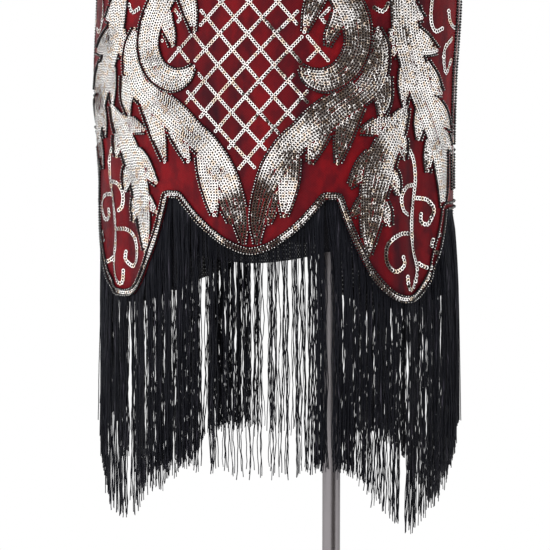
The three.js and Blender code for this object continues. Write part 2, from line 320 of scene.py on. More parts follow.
    def fold_depth(self, angle: np.ndarray, z: np.ndarray) -> np.ndarray:
        """How far the folds push the cloth in at places."""
        depth = np.zeros_like(angle)
        for fold in (*self.folds, *self.ripples):
            turns = (np.degrees(angle) - fold.at) / 360
            away = (turns - np.round(turns)) * 360
            grown = smooth((fold.top - z) / (fold.top - self.notch + self.fold_reach))
            depth += fold.depth * grown * np.exp(-((away / fold.spread) ** 2))
        return depth

    def point(self, angle: np.ndarray, z: np.ndarray) -> np.ndarray:
        """Places on the surface."""
        half_width, front, back, shift = self.section(z)
        depth = np.where(np.cos(angle) > 0, front, back)
        inwards = self.fold_depth(angle, z)
        x = (half_width - inwards) * np.sin(angle) + shift
        y = -(depth - inwards) * np.cos(angle)
        return np.stack([x, y, z], axis=-1)

    def axes(self, angle: np.ndarray, z: np.ndarray) -> np.ndarray:
        """Three directions at each place: round the body, up the cloth and out of it."""
        step = 0.01
        around = unit(self.point(angle + step, z) - self.point(angle - step, z))
        up = self.point(angle, z + 1) - self.point(angle, z - 1)
        out = unit(np.cross(around, up))
        return np.stack([around, np.cross(out, around), out], axis=-2)

    def placed(self, angle: np.ndarray, z: np.ndarray, out: float | np.ndarray) -> np.ndarray:
        """Places moved out of the surface."""
        lift = np.asarray(out)[..., None] if np.ndim(out) else out
        return self.point(angle, z) + self.axes(angle, z)[..., 2, :] * lift

    def on_face(
        self, face: Face, angle: np.ndarray, z: np.ndarray, out: float | np.ndarray
    ) -> np.ndarray:
        """Places over one face, which keeps clear of the other face at the seams."""
        places = self.placed(face.turn(angle), z, out)
        places[..., 1] += face.towards * self.seam_gap / 2
        return places

    def scallop_shape(self, degrees: np.ndarray, scallop: Scallop) -> np.ndarray:
        """The profile of a scallop: 0 at its notches and 1 at its lowest point."""
        inner, outer = scallop.lowest - scallop.start, scallop.end - scallop.lowest
        reach = np.where(degrees < scallop.lowest, inner, outer)
        away = np.minimum(1.0, np.abs(degrees - scallop.lowest) / reach)
        return 1 - away**scallop.power

    def _by_scallop(
        self, degrees: np.ndarray, profile: Callable[[np.ndarray, Scallop], np.ndarray]
    ) -> np.ndarray:
        """Works out a height for each angle from the scallop that it belongs to.

        Args:
            degrees: Angles from the middle of a panel.
            profile: How far under the notches a scallop reaches at angles without their sign.

        Returns:
            The heights over the floor.
        """
        away = np.abs(np.asarray(degrees, float))
        first, second = (profile(away, scallop) for scallop in self.scallops)
        return self.notch - np.where(away < self.notch_angle, first, second)

    def hem(self, degrees: np.ndarray) -> np.ndarray:
        """The height of the cloth's edge at angles from the middle of a panel."""

        def profile(away: np.ndarray, scallop: Scallop) -> np.ndarray:
            """The depth of the hem under the notches."""
            end = np.where(away > scallop.lowest, scallop.outer, 0.0)
            return end + (scallop.drop - end) * self.scallop_shape(away, scallop)

        return self._by_scallop(degrees, profile)

    def band_edge(self, degrees: np.ndarray) -> np.ndarray:
        """The height of the net band's lower edge."""

        def profile(away: np.ndarray, scallop: Scallop) -> np.ndarray:
            """The depth of the band under the notches."""
            ends = scallop.band_ends
            return ends + (scallop.band_middle - ends) * self.scallop_shape(away, scallop)

        return self._by_scallop(degrees, profile)

    def fringe_edge(self, degrees: np.ndarray) -> np.ndarray:
        """The height that the ends of the fringe reach, lowest under the middles of the scallops."""

        def profile(away: np.ndarray, scallop: Scallop) -> np.ndarray:
            """The depth of the fringe ends under the notches."""
            first = math.copysign(self.notch_angle, scallop.start)
            last = self.notch_angle if scallop.start < 0 else self.fringe_level_from
            along = np.clip((away - first) / (last - first), 0, 1)
            ends = np.where(along < 0.5, scallop.fringe_first, scallop.fringe_second)
            return ends + (scallop.fringe_middle - ends) * np.sin(math.pi * along) ** 2

        return self._by_scallop(degrees, profile)

    def neck_edge(self, rise: float, split: float, rounding: float) -> tuple[float, float]:
        """The angle and height of the neck's edge.

        Args:
            rise: The share of the yoke's height that the row has reached.
            split: The share at which the neck opens.
            rounding: 1 for a V neck, and more for a rounder bottom.
        """
        along = max(0.0, rise - split) / (1 - split)
        opening = self.underarm + (self.neck_point - self.underarm) * split
        if along > 0:
            z = opening + (self.neck_point - opening) * along**rounding
        else:
            z = self.underarm + (self.neck_point - self.underarm) * rise
        x = float(self.section(np.array(self.neck_point))[0]) * along
        width = float(self.section(np.array(z))[0])
        return math.asin(min(1.0, x / width)), z

    def armhole_edge(self, rise: float) -> tuple[float, float]:
        """The angle and height of the armhole's edge at a share of the yoke's height."""
        z = self.underarm + (self.shoulder_tip - self.underarm) * rise
        scoop = 0.0 if rise >= 1 else self.armhole_scoop * math.sin(math.pi * rise) ** 0.8
        return math.asin(1 - scoop), z


class Face(Enum):
    """The two faces of the dress: which way a face looks, where its neck opens and how round it is."""

    FRONT = ("front", -1, 0.0, 1.0)
    BACK = ("back", 1, math.sin(math.pi / 4), 1.7)

    def __init__(self, title: str, towards: int, neck_split: float, neck_rounding: float) -> None:
        """Names the values of a face."""
        self.title = title
        self.towards = towards
        self.neck_split = neck_split
        self.neck_rounding = neck_rounding

    def turn(self, angle: np.ndarray) -> np.ndarray:
        """The angle round the body of an angle from the middle of this face, +X side positive."""
        return angle if self is Face.FRONT else math.pi - angle

    def along(self, across: np.ndarray) -> np.ndarray:
        """Turns distances across the pattern into distances towards the +X side."""
        return across if self is Face.FRONT else -across


# --- Shader maths --------------------------------------------------------------------------------


class Term:
    """A socket in a shader, which Python's operators extend with Math nodes."""

    def __init__(self, shader: Shader, socket: bpy.types.NodeSocket) -> None:
        """Wraps one output socket."""
        self.shader = shader
        self.socket = socket

    def _math(self, operation: str, *values: Term | float) -> Term:
        """Adds one Math node."""
        inputs = {i: value for i, value in enumerate(values)}
        return self.shader.node("ShaderNodeMath", {"operation": operation}, inputs)

    def __add__(self, other: Term | float) -> Term:
        """The sum."""
        return self._math("ADD", self, other)

    def __sub__(self, other: Term | float) -> Term:
        """The difference."""
        return self._math("SUBTRACT", self, other)

    def __mul__(self, other: Term | float) -> Term:
        """The product."""
        return self._math("MULTIPLY", self, other)

    def __rsub__(self, other: float) -> Term:
        """A number less this."""
        return self._math("SUBTRACT", other, self)

    def __truediv__(self, other: Term | float) -> Term:
        """The quotient."""
        return self._math("DIVIDE", self, other)

    __radd__ = __add__
    __rmul__ = __mul__

    def __abs__(self) -> Term:
        """The size without the sign."""
        return self._math("ABSOLUTE", self)

    def least(self, other: Term | float) -> Term:
        """The smaller of two."""
        return self._math("MINIMUM", self, other)

    def most(self, other: Term | float) -> Term:
        """The larger of two."""
        return self._math("MAXIMUM", self, other)

    def sine(self) -> Term:
        """The sine, in radians."""
        return self._math("SINE", self)

    def above(self, low: float, high: float) -> Term:
        """A soft step from 0 at one value to 1 at another."""
        return self.shader.node(
            "ShaderNodeMapRange",
            {"interpolation_type": "SMOOTHSTEP"},
            {"Value": self, "From Min": low, "From Max": high},
        )

    def pingpong(self, scale: float) -> Term:
        """Folds the value to and fro between 0 and a scale."""
        return self._math("PINGPONG", self, scale)


class Shader:
    """Builds one node tree."""

    def __init__(self, tree: bpy.types.NodeTree) -> None:
        """Starts from an empty tree."""
        tree.nodes.clear()
        self.tree = tree

    def node(
        self,
        kind: str,
        settings: dict[str, object] | None = None,
        inputs: dict[str | int, object] | None = None,
        output: str | int = 0,
    ) -> Term:
        """Adds a node.

        Args:
            kind: The node's type.
            settings: Values set on the node itself, before its sockets.
            inputs: Numbers, colours or terms for its sockets, by name or index.
            output: The socket that the term reads.

        Returns:
            The chosen output.
        """
        made = self.tree.nodes.new(kind)
        for key, value in (settings or {}).items():
            setattr(made, key, value)
        for key, value in (inputs or {}).items():
            socket = made.inputs[key]
            if isinstance(value, Term):
                self.tree.links.new(value.socket, socket)
            elif value is not None:
                socket.default_value = value
        sockets = [s for s in made.outputs if s.enabled]
        found = made.outputs[output] if isinstance(output, str) else sockets[output] if sockets else None
        return Term(self, found)

    def mix(self, factor: Term | float, a: object, b: object) -> Term:
        """Mixes two colours, through the colour sockets of a Mix node."""
        return self.node("ShaderNodeMix", {"data_type": "RGBA"}, {0: factor, 6: a, 7: b})

    def coordinates(self, name: str = "Object") -> Term:
        """A Texture Coordinate output."""
        return self.node("ShaderNodeTexCoord", output=name)

    def split(self, vector: Term) -> tuple[Term, Term, Term]:
        """The three parts of a vector."""
        return tuple(self.node("ShaderNodeSeparateXYZ", {}, {0: vector}, part) for part in range(3))

    def noise(
        self,
        vector: Term,
        scale: float,
        detail: float = 2.0,
        stretch: tuple[float, float, float] = (1.0, 1.0, 1.0),
    ) -> Term:
        """Smooth noise over stretched coordinates."""
        moved = self.node("ShaderNodeMapping", {}, {"Vector": vector, "Scale": stretch})
        return self.node("ShaderNodeTexNoise", {}, {"Vector": moved, "Scale": scale, "Detail": detail})

    def bump(self, height: Term, distance: float, strength: float = 1.0) -> Term:
        """A bump from a height."""
        return self.node(
            "ShaderNodeBump", {}, {"Height": height, "Distance": distance, "Strength": strength}, "Normal"
        )


@dataclass(frozen=True)
class Finish:
    """What every finish has: a name, a colour and how it shines."""

    name: str
    colour: tuple[float, float, float]
    roughness: float = 0.5
    metallic: float = 0.0

    def surface(self, shader: Shader) -> dict[str, object]:
        """The sockets that differ from the plain values. A plain finish has none."""
        return {}

    def build(self) -> bpy.types.Material:
        """Makes the material."""
        material = bpy.data.materials.new(self.name)
        material.use_nodes = True
        shader = Shader(material.node_tree)
        sockets = {
            "Base Color": (*self.colour, 1.0),
            "Roughness": self.roughness,
            "Metallic": self.metallic,
            **self.surface(shader),
        }
        principled = shader.node("ShaderNodeBsdfPrincipled", {}, sockets)
        shader.node("ShaderNodeOutputMaterial", {}, {"Surface": principled})
        return material


@dataclass(frozen=True)
class NetOverSatin(Finish):
    """Red satin seen through fine black net, with painted shade and sheen in its colour: darker upright
    streaks where the lining folds, and brighter patches of satin sheen.
    """

    # The painted shade of the folds: the dark red that the streaks mix towards.
    painted_fold_shade: tuple[float, float, float] = (0.030, 0.001, 0.005)
    # The painted sheen of the satin: the bright red of its lit patches.
    painted_satin_sheen: tuple[float, float, float] = (0.25, 0.003, 0.006)
    net_pitch: float = 1.5 * MM
    calm_from: tuple[float, float] = (0.84, 1.0)

    def surface(self, shader: Shader) -> dict[str, object]:
        """Painted fold shade and sheen, net and weave, along the cloth's own coordinates."""
        cloth = shader.coordinates("UV")
        across, up, _ = shader.split(cloth)
        # Painted shade and sheen: these noise masks pick the upright fold streaks, the wider sheen patches
        # and a fine mottle of both.
        folds = shader.noise(cloth, 1.0, 1.5, (52.0, 7.0, 1.0)).above(0.38, 0.62)
        painted_sheen_patches = shader.noise(cloth, 1.0, 1.0, (15.0, 4.0, 1.0)).above(0.35, 0.65)
        painted_shade_sheen_mottle = shader.noise(cloth, 1.0, 2.0, (95.0, 60.0, 1.0)).above(0.35, 0.65)
        calm = up.above(*self.calm_from)
        shade = (1.0 - folds * 0.7 - painted_shade_sheen_mottle * 0.3) * (1.0 - calm * 0.75)
        # The painted fold shade, fading out over the upper body.
        base = shader.mix(shade, (*self.colour, 1.0), (*self.painted_fold_shade, 1.0))
        # The painted satin sheen.
        base = shader.mix(painted_sheen_patches * (0.35 + painted_shade_sheen_mottle * 0.4) * (1.0 - calm * 0.6), base, (*self.painted_satin_sheen, 1.0))
        turns = 2 * math.pi / self.net_pitch
        first = ((across + up * 0.6) * turns).sine()
        second = ((across - up * 0.6) * turns).sine()
        net = first.most(second).above(0.45, 0.95)
        coloured = shader.mix(net * 0.5, base, (0.006, 0.004, 0.006, 1.0))
        weave = shader.noise(cloth, 1.0, 2.0, (900.0, 900.0, 1.0))
        height = folds * 0.6 + net * 0.12 + weave * 0.05
        return {
            "Base Color": coloured,
            "Roughness": 0.42 + net * 0.3 + weave * 0.06,
            "Normal": shader.bump(height, 1.2 * MM, 0.5),
            "Specular IOR Level": 0.12,
        }


@dataclass(frozen=True)
class SequinFoil(Finish):
    """Silvery champagne foil, whose tint differs a little from disc to disc."""

    warm: tuple[float, float, float] = (0.86, 0.66, 0.47)

    def surface(self, shader: Shader) -> dict[str, object]:
        """Reads each disc's own tint."""
        tint = shader.node("ShaderNodeAttribute", {"attribute_name": "tint"}, {}, "Fac")
        grain = shader.noise(shader.coordinates(), 900.0, 2.0)
        colour = shader.mix(tint.above(0.62, 0.98) * 0.8, (*self.colour, 1.0), (*self.warm, 1.0))
        return {"Base Color": colour, "Roughness": 0.10 + grain * 0.16}


@dataclass(frozen=True)
class SequinEye(Finish):
    """The hole in a sequin, with the knot of black thread in it."""

    def surface(self, shader: Shader) -> dict[str, object]:
        """Thread that is a little duller in places."""
        lint = shader.noise(shader.coordinates(), 700.0, 1.0)
        return {"Roughness": self.roughness + lint * 0.15, "Specular IOR Level": 0.1}


@dataclass(frozen=True)
class JetGlass(Finish):
    """Black glass beads. The glint of a cut face is painted on each bead as a silver foil disc, made with
    the bead template.
    """

    def surface(self, shader: Shader) -> dict[str, object]:
        """A faint cloudiness over the glass."""
        cloud = shader.noise(shader.coordinates(), 500.0, 1.0)
        return {"Roughness": 0.06 + cloud * 0.1, "Specular IOR Level": 0.3}


@dataclass(frozen=True)
class BlackNet(Finish):
    """The open black net of the band, with rows of darker threads."""

    pitch: float = 2.4 * MM
    thread: float = 0.34

    def surface(self, shader: Shader) -> dict[str, object]:
        """Slanting threads round six-sided holes."""
        across, up, _ = shader.split(shader.coordinates("UV"))
        first = abs(((across + up * 0.55) / self.pitch).pingpong(0.5) * 2 - 1)
        second = abs(((across - up * 0.55) / self.pitch).pingpong(0.5) * 2 - 1)
        holes = first.least(second).above(self.thread, self.thread + 0.3)
        twist = ((up + across) * (math.pi / (0.3 * MM))).sine()
        return {
            "Alpha": 1.0 - holes * 0.3,
            "Roughness": 0.6 + twist * 0.08,
            "Normal": shader.bump(1.0 - holes + twist * 0.1, 0.4 * MM, 0.6),
            "Specular IOR Level": 0.12,
        }


@dataclass(frozen=True)
class FringeYarn(Finish):
    """Black twisted rayon yarn, with a cool painted sheen mixed into the colour of some strands."""

    painted_strand_sheen: tuple[float, float, float] = (0.10, 0.09, 0.12)

    def surface(self, shader: Shader) -> dict[str, object]:
        """Slanting twist along the strand, and a painted sheen on some strands."""
        where = shader.coordinates()
        x, y, z = shader.split(where)
        twist = ((z + (x + y) * 2.0) * (2 * math.pi / (1.6 * MM))).sine()
        # Painted sheen: noise picks some strands, mixes a cool grey into their black and makes them a
        # little less rough.
        painted_sheen_strands = shader.noise(where, 1.0, 2.0, (420.0, 420.0, 24.0)).above(0.6, 0.82)
        colour = shader.mix(painted_sheen_strands * 0.7, (*self.colour, 1.0), (*self.painted_strand_sheen, 1.0))
        return {
            "Base Color": colour,
            "Roughness": self.roughness - painted_sheen_strands * 0.12,
            "Normal": shader.bump(twist, 0.15 * MM, 0.5),
            "Specular IOR Level": 0.15,
        }


@dataclass(frozen=True)
class FormCover(Finish):
    """The close cotton cover of the form."""

    shade: tuple[float, float, float] = (0.38, 0.33, 0.26)

    def surface(self, shader: Shader) -> dict[str, object]:
        """A plain weave with slubs and faint soiling."""
        where = shader.coordinates()
        x, y, z = shader.split(where)
        warp = ((x + y) * (2 * math.pi / (0.9 * MM))).sine()
        weft = (z * (2 * math.pi / (0.9 * MM))).sine()
        slubs = shader.noise(where, 1.0, 3.0, (260.0, 260.0, 900.0)).above(0.5, 0.8)
        soil = shader.noise(where, 9.0, 4.0).above(0.45, 0.8)
        colour = shader.mix(soil * 0.35 + slubs * 0.2, (*self.colour, 1.0), (*self.shade, 1.0))
        return {
            "Base Color": colour,
            "Roughness": 0.86 + slubs * 0.06,
            "Normal": shader.bump(warp.most(weft) * 0.5 + slubs * 0.4, 0.25 * MM, 0.5),
            "Sheen Weight": 0.1,
        }


@dataclass(frozen=True)
class SatinSteel(Finish):
    """Satin steel, brushed along one direction, with faint wear."""

    stretch: tuple[float, float, float] = (700.0, 700.0, 9.0)

    def surface(self, shader: Shader) -> dict[str, object]:
        """Fine brushing and duller patches."""
        where = shader.coordinates()
        brushed = shader.noise(where, 1.0, 2.0, self.stretch)
        dull = shader.noise(where, 14.0, 3.0).above(0.4, 0.75)
        return {
            "Roughness": self.roughness + brushed * 0.1 + dull * 0.08,
            "Normal": shader.bump(brushed, 0.05 * MM, 0.35),
        }


# --- Making meshes -------------------------------------------------------------------------------


class Workshop:
    """Turns meshes into finished pieces, and keeps the materials."""

    def __init__(self) -> None:
        """Makes every finish once."""
        self.satin = NetOverSatin("net_over_red_satin", (0.125, 0.0015, 0.005), 0.45).build()
        self.foil = SequinFoil("sequin_foil", (0.95, 0.92, 0.90), 0.15, 1.0).build()
        self.dot = SequinEye("sequin_eye", (0.006, 0.004, 0.004), 0.7).build()
        self.jet = JetGlass("jet_beads", (0.004, 0.004, 0.005), 0.08).build()
        self.net = BlackNet("black_net", (0.004, 0.004, 0.006), 0.55).build()
        self.yarn = FringeYarn("fringe_yarn", (0.004, 0.0045, 0.008), 0.42).build()
        self.cover = FormCover("form_cover", (0.50, 0.44, 0.35), 0.9).build()
        self.steel = SatinSteel("satin_steel", (0.22, 0.205, 0.212), 0.26, 1.0).build()
        self.plate = SatinSteel("foot_steel", (0.46, 0.45, 0.45), 0.3, 1.0, (9.0, 700.0, 700.0)).build()

    def piece(
        self,
        name: str,
        mesh: bpy.types.Mesh,
        materials: list[bpy.types.Material],
        slot: str,
        nodes: tuple[str, ...] = (),
    ) -> bpy.types.Object:
        """Puts a mesh in the scene as a piece of the object.

        Args:
            name: The piece's name.
            mesh: Its mesh, in metres, in place.
            materials: Its materials, in the order of its slots.
            slot: The record's material slot that it stands for. It is not used.
            nodes: The CAD nodes that it replaces.

        Returns:
            The new object.
        """
        mesh.name = name
        for material in materials:
            mesh.materials.append(material)
        made = in_scene(name, mesh)
        if nodes:
            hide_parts(*nodes)
        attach(made, "root")
        LOG.info("%s: %d faces", name, len(mesh.polygons))
        return made

    @staticmethod
    def finish_mesh(bm: bmesh.types.BMesh, shaded_smooth: bool = True) -> bpy.types.Mesh:
        """Turns a bmesh into a mesh and frees it."""
        for face in bm.faces:
            face.smooth = shaded_smooth
        mesh = bpy.data.meshes.new("mesh")
        bm.to_mesh(mesh)
        bm.free()
        return mesh

    @staticmethod
    def copies(
        template: bpy.types.Mesh, places: np.ndarray, axes: np.ndarray, tints: np.ndarray
    ) -> bpy.types.Mesh:
        """Joins many small copies of a template into one mesh.

        Args:
            template: The shape, in metres, with its own Z as the way it faces.
            places: Where each copy lies, in metres.
            axes: The three directions of each copy.
            tints: A number for each copy, kept in the attribute named tint.

        Returns:
            The joined mesh.
        """
        corners = np.array([v.co[:] for v in template.vertices])
        moved = np.einsum("va,nab->nvb", corners, axes) + places[:, None, :]
        faces = [tuple(p.vertices) for p in template.polygons]
        count = len(corners)
        every = [tuple(v + k * count for v in face) for k in range(len(places)) for face in faces]
        mesh = bpy.data.meshes.new("copies")
        mesh.from_pydata(moved.reshape(-1, 3).tolist(), [], every)
        indices = np.tile([p.material_index for p in template.polygons], len(places))
        mesh.polygons.foreach_set("material_index", indices.astype(np.int32))
        smooth_faces = np.tile([p.use_smooth for p in template.polygons], len(places))
        mesh.polygons.foreach_set("use_smooth", smooth_faces)
        attribute = mesh.attributes.new("tint", "FLOAT", "POINT")
        attribute.data.foreach_set("value", np.repeat(tints, count).astype(np.float32))
        mesh.update()
        return mesh


# --- Cloth ---------------------------------------------------------------------------------------


@dataclass
class Cloth:
    """The sheets of one face of the dress: its panel and the net band behind the hem."""

    cut: DressCut
    face: Face
    columns: int = 84
    skirt_rows: int = 14
    torso_rows: int = 40
    yoke_rows: int = 28
    band_rows: int = 6
    band_above_hem: float = 12.0
    band_thickness: float = 1.0
    band_out: float = 0.4
    column_shares: tuple[float, ...] = (0.28, 0.06, 0.54, 0.12)

    def degrees(self) -> np.ndarray:
        """The columns of half a panel, gathered where the notches are."""
        middle, outer = self.cut.scallops
        corners = (0.0, middle.end, outer.start, outer.end, 90.0)
        runs = (self.columns * np.array(self.column_shares)).astype(int) + 1
        pieces = [np.linspace(a, b, n, endpoint=False) for a, b, n in zip(corners, corners[1:], runs)]
        return np.concatenate([*pieces, [90.0]])

    def panel_rows(self) -> list[tuple[np.ndarray, np.ndarray]]:
        """The angle, in radians, and height of every column for each row of half a panel."""
        cut, face = self.cut, self.face
        degrees = self.degrees()
        angles = np.radians(degrees)
        rows = []
        for k in range(self.skirt_rows):
            rise = (k / self.skirt_rows) ** 0.9
            rows.append((angles, cut.hem(degrees) * (1 - rise) + cut.skirt_top * rise))
        for z in np.linspace(cut.skirt_top, cut.underarm, self.torso_rows + 1):
            rows.append((angles, np.full_like(angles, z)))
        for k in range(1, self.yoke_rows + 1):
            rise = math.sin(k / self.yoke_rows * math.pi / 2)
            neck_angle, neck_z = cut.neck_edge(rise, face.neck_split, face.neck_rounding)
            arm_angle, arm_z = cut.armhole_edge(rise)
            share = degrees / 90
            across = neck_angle + (arm_angle - neck_angle) * share
            rows.append((across, neck_z + (arm_z - neck_z) * smooth(share)))
        return rows

    def band_rows_of(self) -> list[tuple[np.ndarray, np.ndarray]]:
        """The same for the net band."""
        degrees = self.degrees()
        low, high = self.cut.band_edge(degrees), self.cut.hem(degrees) + self.band_above_hem
        shares = np.linspace(0, 1, self.band_rows + 1)
        return [(np.radians(degrees), low + (high - low) * share) for share in shares]

    def sheet(self, rows: list[tuple[np.ndarray, np.ndarray]], out: float) -> bpy.types.Mesh:
        """Makes a sheet on this face from the rows of its half.

        Args:
            rows: Angles and heights, lowest row first.
            out: How far it lies from the surface.

        Returns:
            The mesh, with a UV map in metres across and up the cloth.
        """
        bm = bmesh.new()
        uv_at: dict[bmesh.types.BMVert, tuple[float, float]] = {}
        for side in (1, -1):
            angles = np.concatenate([a for a, _ in rows]) * side
            heights = np.concatenate([z for _, z in rows])
            places = self.cut.on_face(self.face, angles, heights, out)
            across = self.cut.across_at(angles)
            made = bmesh.ops.create_grid(
                bm, x_segments=len(rows[0][0]) - 1, y_segments=len(rows) - 1, size=1.0
            )
            for vert, place, u, v in zip(made["verts"], places, across, heights):
                vert.co = place * MM
                uv_at[vert] = (u * MM, v * MM)
            if side * -self.face.towards < 0:
                faces = {f for vert in made["verts"] for f in vert.link_faces}
                bmesh.ops.reverse_faces(bm, faces=list(faces))
        layer = bm.loops.layers.uv.new("cloth")
        for face in bm.faces:
            for loop in face.loops:
                loop[layer].uv = uv_at[loop.vert]
        bmesh.ops.remove_doubles(bm, verts=bm.verts, dist=0.02 * MM)
        return Workshop.finish_mesh(bm)

    @staticmethod
    def thicken(piece: bpy.types.Object, thickness: float) -> None:
        """Gives a sheet its thickness, inwards."""
        solid = piece.modifiers.new("thickness", "SOLIDIFY")
        solid.thickness = thickness * MM
        solid.offset = -1.0
        solid.use_even_offset = False

    def build(self, shop: Workshop) -> tuple[bpy.types.Object, bpy.types.Object]:
        """Makes the panel and the band."""
        title = self.face.title
        panel = shop.piece(
            f"{title}_cloth",
            self.sheet(self.panel_rows(), self.cut.cloth_out),
            [shop.satin],
            "red_cloth",
            (f"{title}_panel",),
        )
        self.thicken(panel, self.cut.cloth)
        band = shop.piece(
            f"{title}_net_band",
            self.sheet(self.band_rows_of(), self.band_out),
            [shop.net],
            "black_net",
            (f"{title}_fringe_band",),
        )
        self.thicken(band, self.band_thickness)
        return panel, band


# --- Sequin and bead work ------------------------------------------------------------------------

Table = tuple[tuple[float, ...], ...]


@dataclass(frozen=True)
class Leaf:
    """A leaf of the ornament: strokes of (across, above the notches, half width)."""

    strokes: tuple[Table, ...]


SCROLL = Leaf(
    (
        ((58, 272, 0.5), (68, 245, 8), (79, 222, 9.5), (92, 200, 11.5), (104, 178, 11.5), (108, 155, 11),
         (103, 137, 11), (92, 124, 10), (77, 118, 9.5), (63, 122, 6), (53, 132, 0.5)),
        ((80, 236, 8), (70, 212, 8), (61, 188, 6), (55, 165, 0.5)),
        ((93, 196, 8), (87, 176, 6), (81, 163, 4), (78, 150, 0.5)),
    )
)
GREAT_LEAF = Leaf(
    (
        ((127, 170, 0.5), (129, 153, 8), (127, 136, 12.5), (121, 118, 14), (107, 104, 13), (91, 93, 13),
         (73, 79, 13.5), (56, 65, 11), (41, 51, 11), (26, 29, 10.5), (15, 4, 8), (9, -21, 6),
         (7, -45, 0.5)),
        ((131, 118, 12), (136, 99, 7), (134, 80, 0.5)),
        ((107, 100, 11), (99, 74, 9), (94, 54, 5.5), (90, 35, 0.5)),
        ((77, 78, 10), (69, 56, 7), (62, 35, 0.5)),
        ((42, 50, 10), (41, 23, 9), (38, 1, 6), (36, -18, 0.5)),
        ((24, 14, 8), (22, -8, 5), (19, -24, 0.5)),
    )
)
SIDE_LEAF = Leaf(
    (
        ((152, 288, 0.5), (149, 250, 8.5), (152, 222, 11.5), (154, 195, 12.5), (158, 165, 13),
         (165, 145, 13), (174, 122, 13), (186, 98, 11.5), (198, 76, 11.5), (208, 53, 11),
         (212, 30, 9), (213, 9, 6), (210, -13, 0.5)),
        ((158, 196, 8), (168, 184, 5), (177, 179, 0.5)),
        ((166, 160, 11), (184, 152, 8), (201, 147, 0.5)),
        ((180, 128, 11), (196, 114, 9), (212, 103, 0.5)),
        ((196, 92, 10), (214, 80, 8), (230, 69, 0.5)),
        ((208, 62, 9), (223, 55, 7), (237, 48, 0.5)),
        ((156, 180, 11), (147, 160, 7), (143, 138, 0.5)),
        ((164, 130, 10), (160, 112, 6), (160, 92, 0.5)),
        ((185, 88, 9), (181, 74, 6), (180, 57, 0.5)),
        ((199, 58, 8), (194, 42, 5), (192, 24, 0.5)),
    )
)
HEM_LEAF = Leaf(
    (
        ((164, 92, 0.5), (156, 80, 7.5), (148, 66, 11), (138, 46, 13), (131, 26, 13.5), (126, 6, 12),
         (123, -16, 10), (120, -38, 6), (119, -57, 0.5)),
        ((146, 72, 9), (130, 72, 7), (112, 67, 0.5)),
        ((134, 44, 11), (118, 32, 9), (101, 13, 0.5)),
        ((126, 4, 9), (115, -5, 6), (102, -17, 0.5)),
        ((152, 64, 8), (158, 52, 5.5), (161, 38, 0.5)),
        ((138, 30, 9), (147, 18, 6), (152, 4, 0.5)),
        ((128, 0, 8), (136, -13, 6), (141, -27, 0.5)),
    )
)
SEAM_LINE = Leaf((((238, 520, 0.5), (238.5, 215, 0.5), (239, 80, 0.5), (238, 4, 0.5)),))
LEAVES = (SCROLL, GREAT_LEAF, SIDE_LEAF, HEM_LEAF, SEAM_LINE)
TENDRILS: tuple[Table, ...] = (
    ((165, 53), (174, 38), (177, 18), (174, -2), (170, -27), (170, -52), (175, -73), (168, -90),
     (160, -91), (158, -77)),
    ((175, 13), (163, 11), (156, 1), (158, -12), (164, -17)),
    ((176, 0), (192, -3), (200, -13), (193, -27), (184, -25), (184, -15)),
    ((168, -36), (152, -36), (138, -46), (136, -63), (144, -73), (155, -67), (154, -57)),
    ((175, -65), (186, -71), (197, -72)),
    ((203, -35), (196, -49), (200, -57), (206, -44), (203, -35)),
    ((138, 216), (137, 197), (131, 186), (121, 190)),
    ((190, 214), (187, 196), (187, 178), (194, 167), (206, 170)),
    ((214, 188), (219, 176), (232, 171), (240, 183)),
    ((226, 160), (212, 150), (212, 135), (218, 125), (227, 138)),
)


